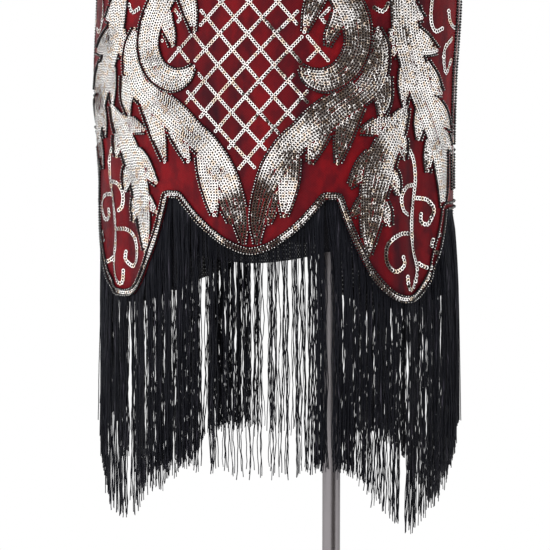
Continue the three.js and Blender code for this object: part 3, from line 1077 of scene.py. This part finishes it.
@dataclass
class SequinWork:
    """All the sequins and beads of one face."""

    cut: DressCut
    face: Face
    seed: int
    pitch: float = 2.85
    row: float = 2.85
    closest: float = 2.4
    radius: float = 1.9
    eye: float = 1.1
    eye_lift: float = 0.22
    cup: float = 0.14
    tendril_size: float = 1.25
    bead_radius: float = 1.6
    bead_pitch: float = 2.9
    bead_lift: float = 2.7
    # The radius of the silver foil disc on each bead, a painted glint.
    painted_glint_radius: float = 0.52
    trellis_width: float = 28.0
    trellis_height: float = 31.0
    trellis_foot: float = 24.0
    trellis_head: float = 350.0
    trellis_reach: float = 96.0
    trellis_point: float = 4.0
    trellis_start: float = 9.0
    trellis_clear: float = 3.4
    strip_in: float = 3.4
    strip_beads: tuple[float, ...] = (6.4, 0.5)
    over_edge: float = -20.0
    trim_until: float = 67.0
    sequin_out: float = 0.5
    tilt: float = math.radians(2.7)
    drift: float = math.radians(5.2)
    lean: float = math.radians(6.0)
    curl: float = math.radians(25.0)
    loosest: float = 0.45
    curl_below: float = 24.0
    curl_fade: float = 30.0
    curl_within: float = 38.0
    curl_edge: float = 14.0
    bead_sink: float = 0.8
    bead_tilt: float = 0.14
    cell: float = 6.0
    _grid: dict[tuple[int, int], list[tuple[float, float]]] = field(default_factory=dict, repr=False)
    _sequins: list[tuple[float, ...]] = field(default_factory=list, repr=False)
    _beads: list[tuple[float, float]] = field(default_factory=list, repr=False)

    def _free(self, u: float, v: float, reach: float) -> bool:
        """Whether nothing lies within reach of a place."""
        i, j = int(u // self.cell), int(v // self.cell)
        for a in (i - 1, i, i + 1):
            for b in (j - 1, j, j + 1):
                for x, y in self._grid.get((a, b), ()):
                    if (x - u) ** 2 + (y - v) ** 2 < reach * reach:
                        return False
        return True

    def _take(self, u: float, v: float) -> None:
        """Marks a place as filled."""
        self._grid.setdefault((int(u // self.cell), int(v // self.cell)), []).append((u, v))

    def _on_cloth(self, u: float, v: float, margin: float) -> bool:
        """Whether a place lies on the panel, clear of its edges."""
        if abs(u) > self.cut.half_girth - margin:
            return False
        degrees = math.degrees(float(self.cut.angle_at(np.array(abs(u)))))
        return self.cut.notch + v > float(self.cut.hem(np.array(degrees))) + margin

    def _sew(
        self,
        u: float,
        v: float,
        direction: tuple[float, float],
        reach: float,
        margin: float = 7.0,
        size: float = 1.0,
    ) -> None:
        """Sews a sequin if there is room for it.

        Args:
            u: Its place across the panel.
            v: Its height above the notches.
            direction: The way its row runs.
            reach: How near another may lie.
            margin: How far it stays from the panel's edges.
            size: Its size beside the usual one.
        """
        if self._on_cloth(u, v, margin) and self._free(u, v, reach):
            self._take(u, v)
            self._sequins.append((u, v, *direction, size))

    def _row_of(self, line: np.ndarray, spacing: float) -> np.ndarray:
        """Picks places at an even spacing from a densely sampled line."""
        if len(line) < 2:
            return line
        along = np.concatenate([[0.0], np.cumsum(np.linalg.norm(np.diff(line[:, :2], axis=0), axis=1))])
        wanted = np.arange(spacing * 0.3, along[-1] + 1e-6, spacing)
        return np.column_stack([np.interp(wanted, along, column) for column in line.T])

    def _stroke_frames(self, stroke: Table) -> tuple[np.ndarray, np.ndarray, np.ndarray]:
        """The samples of a stroke, with their directions along and across it."""
        samples = spline_through(np.array(stroke, float), 0.8)
        along = unit(np.gradient(samples[:, :2], axis=0))
        return samples, along, np.column_stack([-along[:, 1], along[:, 0]])

    def _fill_stroke(self, stroke: Table) -> None:
        """Fills a stroke with rows that follow its edges."""
        samples, along, across = self._stroke_frames(stroke)
        widest = samples[:, 2].max()
        for k in range(int(widest / self.row) + 1):
            for side in (1, -1):
                offset = samples[:, 2] - self.radius * 0.4 - k * self.row
                kept = offset > self.row * 0.45
                line = np.column_stack([samples[:, :2] + across * (offset * side)[:, None], along])
                for u, v, du, dv in self._runs(line, kept):
                    self._sew(u, v, (du, dv), self.closest)
        line = np.column_stack([samples[:, :2], along])
        for u, v, du, dv in self._row_of(line, self.pitch):
            self._sew(u, v, (du, dv), self.closest * 0.95)

    def _runs(self, line: np.ndarray, kept: np.ndarray) -> np.ndarray:
        """The places along each unbroken stretch of a line."""
        breaks = np.flatnonzero(np.diff(kept.astype(int))) + 1
        found = [
            self._row_of(piece, self.pitch)
            for piece, keep in zip(np.split(line, breaks), np.split(kept, breaks))
            if keep.all() and len(piece) > 1
        ]
        return np.vstack(found) if found else np.empty((0, line.shape[1]))

    def _outline_stroke(self, stroke: Table) -> None:
        """Lays beads along both sides of a stroke, outside its outermost rows."""
        samples, _, across = self._stroke_frames(stroke)
        for side in (1, -1):
            edge = samples[:, :2] + across * ((samples[:, 2] + self.bead_lift) * side)[:, None]
            for u, v in self._row_of(edge, self.bead_pitch):
                self._lay_bead(u, v)

    def _lay_bead(self, u: float, v: float, margin: float = 7.0) -> None:
        """Lays a bead if there is room for it."""
        if self._on_cloth(u, v, margin) and self._free(u, v, self.bead_pitch * 0.93):
            self._take(u, v)
            self._beads.append((u, v))

    def _trellis(self) -> None:
        """Sews the slanting lines of the trellis inside its pointed frame, clear of the leaves."""
        rise = self.trellis_height / self.trellis_width
        length = math.hypot(1, rise)
        found = []
        for direction in (1, -1):
            for k in range(-12, 24):
                start = k * self.trellis_height + self.trellis_start
                for u in np.arange(-self.trellis_reach, self.trellis_reach, self.pitch / length):
                    v = start + direction * rise * u
                    slope = abs(u) - self.trellis_point
                    inside = self.trellis_foot + slope < v < self.trellis_head - slope
                    if inside and self._free(u, v, self.trellis_clear):
                        found.append((u, v, (1 / length, direction * rise / length)))
        for u, v, direction in found:
            self._sew(u, v, direction, self.closest * 0.6)

    def _edge_lines(self) -> None:
        """Sews the strip along the hem: a row of sequins between two rows of beads.

        The row of sequins stops short of the sides, and the beads run on.
        """
        degrees = np.linspace(-89.4, 89.4, 3000)
        height = self.cut.hem(degrees) - self.cut.notch
        edge = np.column_stack([self.cut.across_at(np.radians(degrees)), height])
        inwards = self._inwards(edge)
        middle = np.abs(degrees) < self.trim_until
        strip = np.column_stack([edge + inwards * self.strip_in, self._along(edge)])[middle]
        for u, v, du, dv in self._row_of(strip, self.pitch):
            self._sew(u, v, (du, dv), self.closest, margin=self.over_edge)
        for lift in self.strip_beads:
            for u, v in self._row_of(edge + inwards * lift, self.bead_pitch):
                self._lay_bead(u, v, margin=self.over_edge)

    @staticmethod
    def _along(line: np.ndarray) -> np.ndarray:
        """The direction along a line at each of its places."""
        return unit(np.gradient(line, axis=0))

    def _inwards(self, edge: np.ndarray) -> np.ndarray:
        """The direction square to the hem, up into the cloth."""
        along = self._along(edge)
        return np.column_stack([-along[:, 1], along[:, 0]])

    def draw(self) -> None:
        """Works out where every sequin and bead goes."""
        self._edge_lines()
        for side in (1, -1):
            for leaf in LEAVES:
                strokes = [tuple((u * side, v, w) for u, v, w in stroke) for stroke in leaf.strokes]
                for stroke in strokes:
                    self._fill_stroke(stroke)
                for stroke in strokes:
                    self._outline_stroke(stroke)
            for tendril in TENDRILS:
                points = np.array([(u * side, v) for u, v in tendril], float)
                line = spline_through(points, 0.8)
                row = np.column_stack([line, self._along(line)])
                for u, v, du, dv in self._row_of(row, self.pitch * 1.1):
                    self._sew(u, v, (du, dv), self.closest, size=self.tendril_size)
        self._trellis()

    def _frames(self, flat: np.ndarray, out: float) -> tuple[np.ndarray, np.ndarray]:
        """Places and directions in space for flat places on the cloth."""
        angle = self.cut.angle_at(flat[:, 0])
        z = self.cut.notch + flat[:, 1]
        places = self.cut.on_face(self.face, angle, z, self.cut.cloth_out + out)
        return places * MM, self.cut.axes(self.face.turn(angle), z)

    def _drift(self, flat: np.ndarray) -> np.ndarray:
        """How far the cloth's own unevenness turns the discs of a neighbourhood together."""
        u, v = flat[:, 0], flat[:, 1]
        waves = np.sin(u / 9.0 + v / 14.0) + np.sin(v / 8.0 - u / 17.0) + np.sin(u / 23.0 + 1.3)
        return self.drift * waves

    def sequin_template(self) -> bpy.types.Mesh:
        """A cupped disc with a dark eye."""
        bm = bmesh.new()
        bmesh.ops.create_circle(bm, cap_ends=True, segments=6, radius=self.radius * MM)
        disc = bm.faces[:]
        inset = (self.radius - self.eye) * math.cos(math.pi / 6)
        bmesh.ops.inset_individual(bm, faces=disc, thickness=inset * MM, use_even_offset=True)
        rim = [v for v in bm.verts if v.co.length > self.radius * 0.8 * MM]
        eye = [v for v in bm.verts if v not in rim]
        bmesh.ops.translate(bm, verts=rim, vec=(0, 0, self.cup * MM))
        bmesh.ops.translate(bm, verts=eye, vec=(0, 0, self.eye_lift * MM))
        for face in bm.faces:
            face.material_index = int(all(v in eye for v in face.verts))
        bmesh.ops.recalc_face_normals(bm, faces=bm.faces)
        if bm.faces[0].normal.z < 0:
            bmesh.ops.reverse_faces(bm, faces=bm.faces)
        return Workshop.finish_mesh(bm, shaded_smooth=False)

    def bead_template(self) -> bpy.types.Mesh:
        """A small round bead with a painted glint: a silver foil disc on its top, standing for one bright
        cut face.
        """
        bm = bmesh.new()
        bmesh.ops.create_icosphere(bm, subdivisions=1, radius=self.bead_radius * MM)
        # The painted glint: a small disc of sequin foil on top of the black bead.
        top = Matrix.Translation((0, 0, self.bead_radius * MM))
        made = bmesh.ops.create_circle(bm, cap_ends=True, segments=4, radius=self.painted_glint_radius * MM, matrix=top)
        for vert in made["verts"]:
            for face in vert.link_faces:
                face.material_index = 1
        return Workshop.finish_mesh(bm)

    def _facing(self, flat: np.ndarray, axes: np.ndarray, rng: np.random.Generator) -> np.ndarray:
        """The way each disc faces.

        Each leans along its row and hangs a little loose, and the ones at the feet of the great leaves
        curl towards the +X side.

        Args:
            flat: The places and row directions of the discs on the flat panel.
            axes: The cloth's own directions there.
            rng: The source of their looseness.
        """
        sense = self.face.along(np.ones(len(flat)))[:, None]
        lean = axes[:, 0] * (flat[:, 2:3] * sense) + axes[:, 1] * flat[:, 3:4]
        loose = rng.standard_t(3, (len(flat), 2, 1)) * self.tilt
        loose = np.clip(loose, -self.loosest, self.loosest)
        loose[:, 0] += self._drift(flat)[:, None]
        low = smooth((self.curl_below - flat[:, 1]) / self.curl_fade)
        inside = smooth((self.curl_within - np.abs(flat[:, 0])) / self.curl_edge)
        curled = (math.tan(self.curl) * low * inside)[:, None]
        sideways = axes[:, 0] * (loose[:, 0] + curled)
        return unit(axes[:, 2] - lean * math.tan(self.lean) + sideways + axes[:, 1] * loose[:, 1])

    def _sequin_pieces(self, shop: Workshop, rng: np.random.Generator) -> list[bpy.types.Object]:
        """Makes the sequins of the +X and -X halves."""
        flat = np.array(self._sequins)
        places, axes = self._frames(flat, self.sequin_out)
        facing = self._facing(flat, axes, rng)
        spin = rng.uniform(0, math.pi, (len(flat), 1))
        across = unit(axes[:, 0] * np.cos(spin) + axes[:, 1] * np.sin(spin))
        second = unit(np.cross(facing, across))
        turned = np.stack([np.cross(second, facing), second, facing], axis=1) * flat[:, 4, None, None]
        tints = rng.uniform(0, 1, len(flat))
        template = self.sequin_template()
        pieces = []
        for side, word in ((1, "right"), (-1, "left")):
            kept = np.where(flat[:, 0] * side > 0)[0]
            mesh = Workshop.copies(template, places[kept], turned[kept], tints[kept])
            name = f"{self.face.title}_sequins_{word}"
            pieces.append(shop.piece(name, mesh, [shop.foil, shop.dot], "sequins"))
        return pieces

    def _bead_piece(self, shop: Workshop, rng: np.random.Generator) -> bpy.types.Object:
        """Makes all the beads."""
        flat = np.array(self._beads)
        places, axes = self._frames(flat, self.bead_radius * self.bead_sink)
        facing = unit(axes[:, 2] + rng.normal(0, self.bead_tilt, (len(flat), 3)))
        across = unit(np.cross(axes[:, 1], facing))
        turned = np.stack([across, np.cross(facing, across), facing], axis=1)
        tints = rng.uniform(0, 1, len(flat))
        mesh = Workshop.copies(self.bead_template(), places, turned, tints)
        # The sequin foil is the painted glint on each bead.
        return shop.piece(f"{self.face.title}_beads", mesh, [shop.jet, shop.foil], "black_net")

    def build(self, shop: Workshop) -> list[bpy.types.Object]:
        """Makes the pieces: the sequins of the two halves, and the beads."""
        self.draw()
        rng = np.random.default_rng(self.seed)
        pieces = self._sequin_pieces(shop, rng)
        pieces.append(self._bead_piece(shop, rng))
        LOG.info("%s: %d sequins, %d beads", self.face.title, len(self._sequins), len(self._beads))
        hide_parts(f"{self.face.title}_hem_trim")
        return pieces


# --- Fringe --------------------------------------------------------------------------------------


@dataclass
class Fringe:
    """The long strands of one face, hung along the hem behind the band.

    Strands gather in clumps, stray sideways, wave and kink on their way down, and hang at uneven
    depths. A bunch is an angle, a spread and how much closer the strands hang there.
    """

    cut: DressCut
    face: Face
    seed: int
    spacing: float = 1.3
    end_spread: float = 4.0
    end_short: float = 3.0
    radius: float = 0.47
    joints: int = 28
    root_above_edge: float = 1.5
    out: float = 0.95
    clump: float = 4.8
    kink: float = 0.35
    gathered: tuple[float, float] = (0.2, 0.92)
    stray: float = 2.6
    waving: tuple[float, float] = (0.3, 1.5)
    waves: tuple[float, float] = (1.5, 4.0)
    kinks: tuple[float, float] = (9.0, 14.0)
    behind: float = 2.4
    sway: float = 2.0
    lowest: float = 302.0
    edge: float = 0.6
    bunches: tuple[tuple[float, float, float], ...] = (
        (25.0, 5.0, 2.4),
        (84.0, 8.0, 1.8),
        (55.0, 22.0, 0.25),
        (0.0, 16.0, -0.6),
    )

    def _roots(self, rng: np.random.Generator) -> np.ndarray:
        """The angles, in degrees, of the strands, spaced along the slanting hem and crowded at bunches."""
        degrees = np.linspace(-89.6, 89.6, 4000)
        across = self.cut.across_at(np.radians(degrees))
        height = self.cut.hem(degrees)
        crowd = np.ones_like(degrees)
        for at, spread, more in self.bunches:
            crowd += more * np.exp(-(((np.abs(degrees) - at) / spread) ** 2))
        steps = np.hypot(np.diff(across), np.diff(height)) * crowd[1:]
        along = np.concatenate([[0.0], np.cumsum(steps)])
        count = int(along[-1] / self.spacing)
        wanted = (np.arange(count) + rng.uniform(-0.4, 0.4, count)) / count * along[-1]
        return np.interp(np.clip(wanted, 0, along[-1]), along, degrees)

    def _sideways(self, across: np.ndarray, drop: np.ndarray, rng: np.random.Generator) -> np.ndarray:
        """Where the strands hang across the panel, for each share of their length.

        Args:
            across: Where their roots are.
            drop: The shares of the length, as one row.
            rng: The source of their unevenness.
        """
        count, limit = len(across), self.cut.half_girth - self.edge
        centres = np.sort(rng.uniform(-250, 250, int(500 / self.clump)))
        nearest = centres[np.abs(across[:, None] - centres[None, :]).argmin(axis=1)]
        gather = rng.uniform(*self.gathered, count)[:, None] * (0.3 + 0.7 * smooth(drop * 3.5))
        drift = rng.normal(0, self.stray, count)[:, None] * drop**1.3
        phase, waves = rng.uniform(0, 6.3, (count, 1)), rng.uniform(*self.waves, (count, 1))
        freed = np.minimum(1, drop * 5)
        wave = np.sin(phase + drop * waves * 6.3) * rng.uniform(*self.waving, (count, 1)) * freed
        turns = rng.uniform(*self.kinks, (count, 1))
        kinked = np.sin(phase * 3 + drop * turns * 6.3) * self.kink * freed
        place = across[:, None] + (nearest - across)[:, None] * gather + drift + wave + kinked
        return np.clip(place, -limit, limit)

    def build(self, shop: Workshop) -> bpy.types.Object:
        """Makes all the strands as one piece."""
        rng = np.random.default_rng(self.seed)
        degrees = self._roots(rng)
        count = len(degrees)
        top = self.cut.hem(degrees) + self.root_above_edge
        uneven = rng.normal(0, self.end_spread, count) + rng.exponential(self.end_short, count)
        ends = self.cut.fringe_edge(degrees) + uneven
        drop = np.linspace(0, 1, self.joints)[None, :]
        z = top[:, None] - (top - ends)[:, None] * drop
        place = self._sideways(self.cut.across_at(np.radians(degrees)), drop, rng)
        lift = rng.uniform(0, self.behind, (count, 1)) * smooth(drop * 8)
        lift = lift + rng.normal(0, self.sway, (count, 1)) * drop**1.5
        angle = self.cut.angle_at(place)
        points = self.cut.on_face(self.face, angle, np.maximum(z, self.lowest), self.out + lift)
        return self._tubes(shop, points * MM)

    def _tubes(self, shop: Workshop, points: np.ndarray) -> bpy.types.Object:
        """Turns lines of points into thin four-sided strands."""
        curve = bpy.data.curves.new("strands", "CURVE")
        curve.dimensions = "3D"
        curve.bevel_depth = self.radius * MM
        curve.bevel_resolution = 0
        curve.use_fill_caps = True
        for line in points:
            spline = curve.splines.new("POLY")
            spline.points.add(len(line) - 1)
            spline.points.foreach_set("co", np.column_stack([line, np.ones(len(line))]).ravel())
        holder = in_scene("strands", curve)
        seen = holder.evaluated_get(bpy.context.evaluated_depsgraph_get())
        mesh = bpy.data.meshes.new_from_object(seen)
        bpy.data.objects.remove(holder)
        bpy.data.curves.remove(curve)
        mesh.polygons.foreach_set("use_smooth", np.ones(len(mesh.polygons), bool))
        title = self.face.title
        return shop.piece(f"{title}_strands", mesh, [shop.yarn], "black_fringe", (f"{title}_fringe",))


# --- The form and its stand ----------------------------------------------------------------------


Profile = list[tuple[float, float]]


@dataclass
class DressForm:
    """The limbless torso, its neck cap and the stand."""

    cut: DressCut
    segments: int = 96
    rows: int = 110
    foot_rounding: float = 10.0
    seams: tuple[float, ...] = (0, 180, 90, -90, 38, -38, 142, -142)
    seam_depth: float = 0.7
    seam_width: float = 0.02

    @staticmethod
    def face_key(face: bmesh.types.BMFace) -> float:
        """A number from a face's first vertices, which puts the faces in the same order each run."""
        first, second, third = sorted(vert.index for vert in face.verts)[:3]
        return (first * 1e4 + second) * 1e4 + third

    @staticmethod
    def turned(profile: Profile, centre: Vector, segments: int = 96) -> bpy.types.Mesh:
        """Spins a profile about an upright axis.

        Args:
            profile: Pairs of radius and height, in millimetres.
            centre: A point on the axis, at height 0 of the profile, in metres.
            segments: The number of steps round the axis.

        Returns:
            The closed mesh.
        """
        bm = bmesh.new()
        verts = [bm.verts.new((r * MM, 0.0, h * MM)) for r, h in profile]
        edges = [bm.edges.new(pair) for pair in zip(verts, verts[1:])]
        bmesh.ops.spin(
            bm,
            geom=[*verts, *edges],
            cent=(0, 0, 0),
            axis=(0, 0, 1),
            angle=2 * math.pi,
            steps=segments,
            use_merge=True,
        )
        bmesh.ops.remove_doubles(bm, verts=bm.verts, dist=0.01 * MM)
        bmesh.ops.dissolve_degenerate(bm, dist=0.001 * MM, edges=bm.edges)
        bmesh.ops.recalc_face_normals(bm, faces=bm.faces)
        bmesh.ops.translate(bm, verts=bm.verts, vec=centre)
        bm.verts.index_update()
        bm.faces.sort(key=DressForm.face_key)
        mesh = Workshop.finish_mesh(bm)
        mesh.set_sharp_from_angle(angle=math.radians(35))
        return mesh

    def torso(self) -> bpy.types.Mesh:
        """The torso as a loft of its sections, rounded at its foot."""
        low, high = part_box("form_torso")
        heights = np.linspace(low[2], high[2], self.rows + 1) / MM
        bm = bmesh.new()
        bmesh.ops.create_cone(
            bm, cap_ends=False, segments=self.segments, radius1=1, radius2=1, depth=2, matrix=Matrix()
        )
        uprights = [e for e in bm.edges if abs(e.verts[0].co.z - e.verts[1].co.z) > 1]
        bmesh.ops.subdivide_edges(bm, edges=uprights, cuts=self.rows - 1, use_grid_fill=True)
        for vert in bm.verts:
            row = int(round((vert.co.z + 1) / 2 * self.rows))
            z = heights[row]
            half_width, front, back = (float(x) for x in self.cut.form_section(np.array(z)))
            above = min(1.0, (z - heights[0]) / self.foot_rounding)
            pull = self.foot_rounding * (1 - math.sqrt(1 - (1 - above) ** 2)) * 0.8
            angle = math.atan2(vert.co.x, -vert.co.y)
            depth = front if math.cos(angle) > 0 else back
            seam = self._seam(angle)
            x = (half_width - pull - seam) * math.sin(angle)
            y = -(depth - pull - seam) * math.cos(angle)
            vert.co = Vector((x * MM, y * MM, z * MM))
        for z in (heights[0], heights[-1]):
            ring = [e for e in bm.edges if all(abs(v.co.z - z * MM) < 1e-6 for v in e.verts)]
            bmesh.ops.holes_fill(bm, edges=ring, sides=0)
        bmesh.ops.recalc_face_normals(bm, faces=bm.faces)
        mesh = Workshop.finish_mesh(bm)
        mesh.set_sharp_from_angle(angle=math.radians(40))
        return mesh

    def _seam(self, angle: float) -> float:
        """How deep the stitched seams of the cover press in at an angle."""
        lines = [math.radians(degrees) for degrees in self.seams]
        nearest = min(abs((angle - line + math.pi) % (2 * math.pi) - math.pi) for line in lines)
        return self.seam_depth * math.exp(-((nearest / self.seam_width) ** 2))

    def build(self, shop: Workshop) -> list[bpy.types.Object]:
        """Makes the torso, the cap and the stand."""
        pieces = [shop.piece("torso_cover", self.torso(), [shop.cover], "form_cover", ("form_torso",))]
        for node, profile, material in self._stand_profiles(shop):
            low, high = (Vector(c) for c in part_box(node))
            centre = Vector(((low.x + high.x) / 2, (low.y + high.y) / 2, low.z))
            mesh = self.turned(profile, centre)
            pieces.append(shop.piece(f"{node}_turned", mesh, [material], "steel", (node,)))
        return pieces

    def _stand_profiles(self, shop: Workshop) -> list[tuple[str, Profile, bpy.types.Material]]:
        """The nodes, profiles and materials of the turned pieces, from their boxes."""
        sizes = {}
        for node in ("form_neck_cap", "stand_flange", "stand_pole", "stand_hub", "stand_foot"):
            low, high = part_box(node)
            sizes[node] = ((high[0] - low[0]) / 2 / MM, (high[2] - low[2]) / MM)
        cap, flange, pole, hub, foot = sizes.values()
        return [
            ("form_neck_cap", self._disc(*cap, 4.5), shop.steel),
            ("stand_flange", self._disc(*flange, 1.0), shop.steel),
            ("stand_pole", self._disc(*pole, 0.4), shop.steel),
            ("stand_hub", self._collar(*hub, pole[0] + 0.3), shop.steel),
            ("stand_foot", self._disc(*foot, 1.6), shop.plate),
        ]

    @staticmethod
    def _edge(radius: float, height: float, rounding: float) -> Profile:
        """The rounded upper edge of a disc, rod or collar."""
        return [
            (radius - rounding * (1 - math.cos(a)), height - rounding * (1 - math.sin(a)))
            for a in np.linspace(0, math.pi / 2, 6)
        ]

    def _disc(self, radius: float, height: float, rounding: float) -> Profile:
        """A disc or rod with a rounded upper edge."""
        edge = self._edge(radius, height, rounding)
        return [(0, 0), (radius - 0.2, 0), (radius, 0.2), *edge, (0, height)]

    def _collar(self, radius: float, height: float, bore: float) -> Profile:
        """A collar with a rounded upper edge, closed on itself."""
        return [(bore, 0), (radius, 0), *self._edge(radius, height, 3.0), (bore, height), (bore, 0)]


# --- Studio --------------------------------------------------------------------------------------


@dataclass
class Studio:
    """The camera, the white surroundings, the lights and the floor.

    The gap is the dark stretch of wall that the sequins at the +X side mirror.
    """

    azimuth: float = math.radians(12.4)
    distance: float = 2.3
    eye_height: float = 0.83
    aim: Vector = field(default_factory=lambda: Vector((0.0, 0.0, 0.599)))
    view_width: float = 0.580
    floor_radius: float = 0.95
    gap_from: float = math.radians(11.0)
    gap_to: float = math.radians(65.0)
    gap_edge: float = 0.05
    gap_colour: tuple[float, ...] = (0.052, 0.040, 0.033, 1.0)
    wall_level: float = 1.5
    behind_level: float = 0.95
    light_rise: float = 0.15

    def _stand(
        self, made: bpy.types.Object, angle: float, reach: float, height: float, rise: float = 0.0
    ) -> float:
        """Stands the camera or a light round the dress, facing it.

        Args:
            made: The camera or light.
            angle: The angle round the body that it stands at.
            reach: How far away it stands.
            height: How high it stands.
            rise: How far above the aim it looks.

        Returns:
            How far away the place is that it looks at.
        """
        made.location = (math.sin(angle) * reach, -math.cos(angle) * reach, height)
        sight = self.aim + Vector((0, 0, rise)) - made.location
        made.rotation_euler = sight.to_track_quat("-Z", "Y").to_euler()
        return sight.length

    def camera(self) -> None:
        """Stands the camera before the dress, a little towards its +X side."""
        data = bpy.data.cameras.new("camera")
        made = in_scene("camera", data)
        reach = self._stand(made, self.azimuth, self.distance, self.eye_height)
        data.sensor_width = 36.0
        data.lens = 36.0 * reach / self.view_width
        bpy.context.scene.camera = made

    def surroundings(self) -> None:
        """White walls, duller behind the dress, with a dark stretch where the room opens."""
        world = bpy.data.worlds.new("studio")
        bpy.context.scene.world = world
        world.use_nodes = True
        shader = Shader(world.node_tree)
        x, y, z = shader.split(shader.coordinates("Generated"))
        heading = shader.node("ShaderNodeMath", {"operation": "ARCTAN2"}, {0: x, 1: y * -1.0})
        edge = self.gap_edge
        begun = heading.above(self.gap_from - edge, self.gap_from + edge)
        gap = begun * (1.0 - heading.above(self.gap_to - edge, self.gap_to + edge))
        gap = gap * (1.0 - z.above(0.35, 0.6))
        level = self.wall_level - y.above(-0.2, 0.5) * (self.wall_level - self.behind_level)
        lit = shader.mix(gap, WHITE, self.gap_colour)
        seen = shader.node("ShaderNodeLightPath", output="Is Camera Ray")
        room = shader.node("ShaderNodeBackground", {}, {"Color": lit, "Strength": level})
        paper = shader.node("ShaderNodeBackground", {}, {"Color": WHITE, "Strength": 1.0})
        both = shader.node("ShaderNodeMixShader", {}, {0: seen, 1: room, 2: paper})
        shader.node("ShaderNodeOutputWorld", {}, {"Surface": both})

    def light(
        self,
        name: str,
        heading: float,
        height: float,
        reach: float,
        size: tuple[float, float],
        watts: float,
    ) -> None:
        """Adds a soft rectangular light that faces the dress.

        Args:
            name: The light's name.
            heading: The angle round the body that it stands at, in degrees.
            height: How high it stands.
            reach: How far away it stands.
            size: Its width and height.
            watts: Its power.
        """
        data = bpy.data.lights.new(name, "AREA")
        data.shape = "RECTANGLE"
        data.size, data.size_y = size
        data.energy = watts
        made = in_scene(name, data)
        made.visible_glossy = False
        self._stand(made, math.radians(heading), reach, height, self.light_rise)

    def floor(self, finish: Finish) -> None:
        """A round pale floor just larger than the foot needs."""
        bm = bmesh.new()
        bmesh.ops.create_circle(bm, cap_ends=True, segments=128, radius=self.floor_radius)
        bmesh.ops.translate(bm, verts=bm.verts, vec=(0, 0, -0.0005))
        mesh = Workshop.finish_mesh(bm, shaded_smooth=False)
        mesh.materials.append(finish.build())
        made = in_scene("floor", mesh)

    def build(self) -> None:
        """Sets the stage."""
        self.camera()
        self.surroundings()
        self.light("key", -38, 1.2, 2.4, (1.2, 1.8), 24)
        self.light("fill", 72, 1.1, 2.4, (0.9, 1.8), 14)
        self.floor(Finish("pale_floor", (0.86, 0.86, 0.86), 0.7))
        scene = bpy.context.scene
        scene.view_settings.view_transform = "Standard"
        scene.view_settings.look = "None"


def main() -> None:
    """Builds the dress, its form and the studio."""
    logging.basicConfig(level=logging.INFO, format="%(name)s: %(message)s")
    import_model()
    Studio().build()
    cut = DressCut()
    shop = Workshop()
    for face, seed in ((Face.FRONT, 11), (Face.BACK, 23)):
        panel, band = Cloth(cut, face).build(shop)
        sewn = SequinWork(cut, face, seed).build(shop)
        strands = Fringe(cut, face, seed + 1).build(shop)
    DressForm(cut).build(shop)


if __name__ == "__main__":
    main()
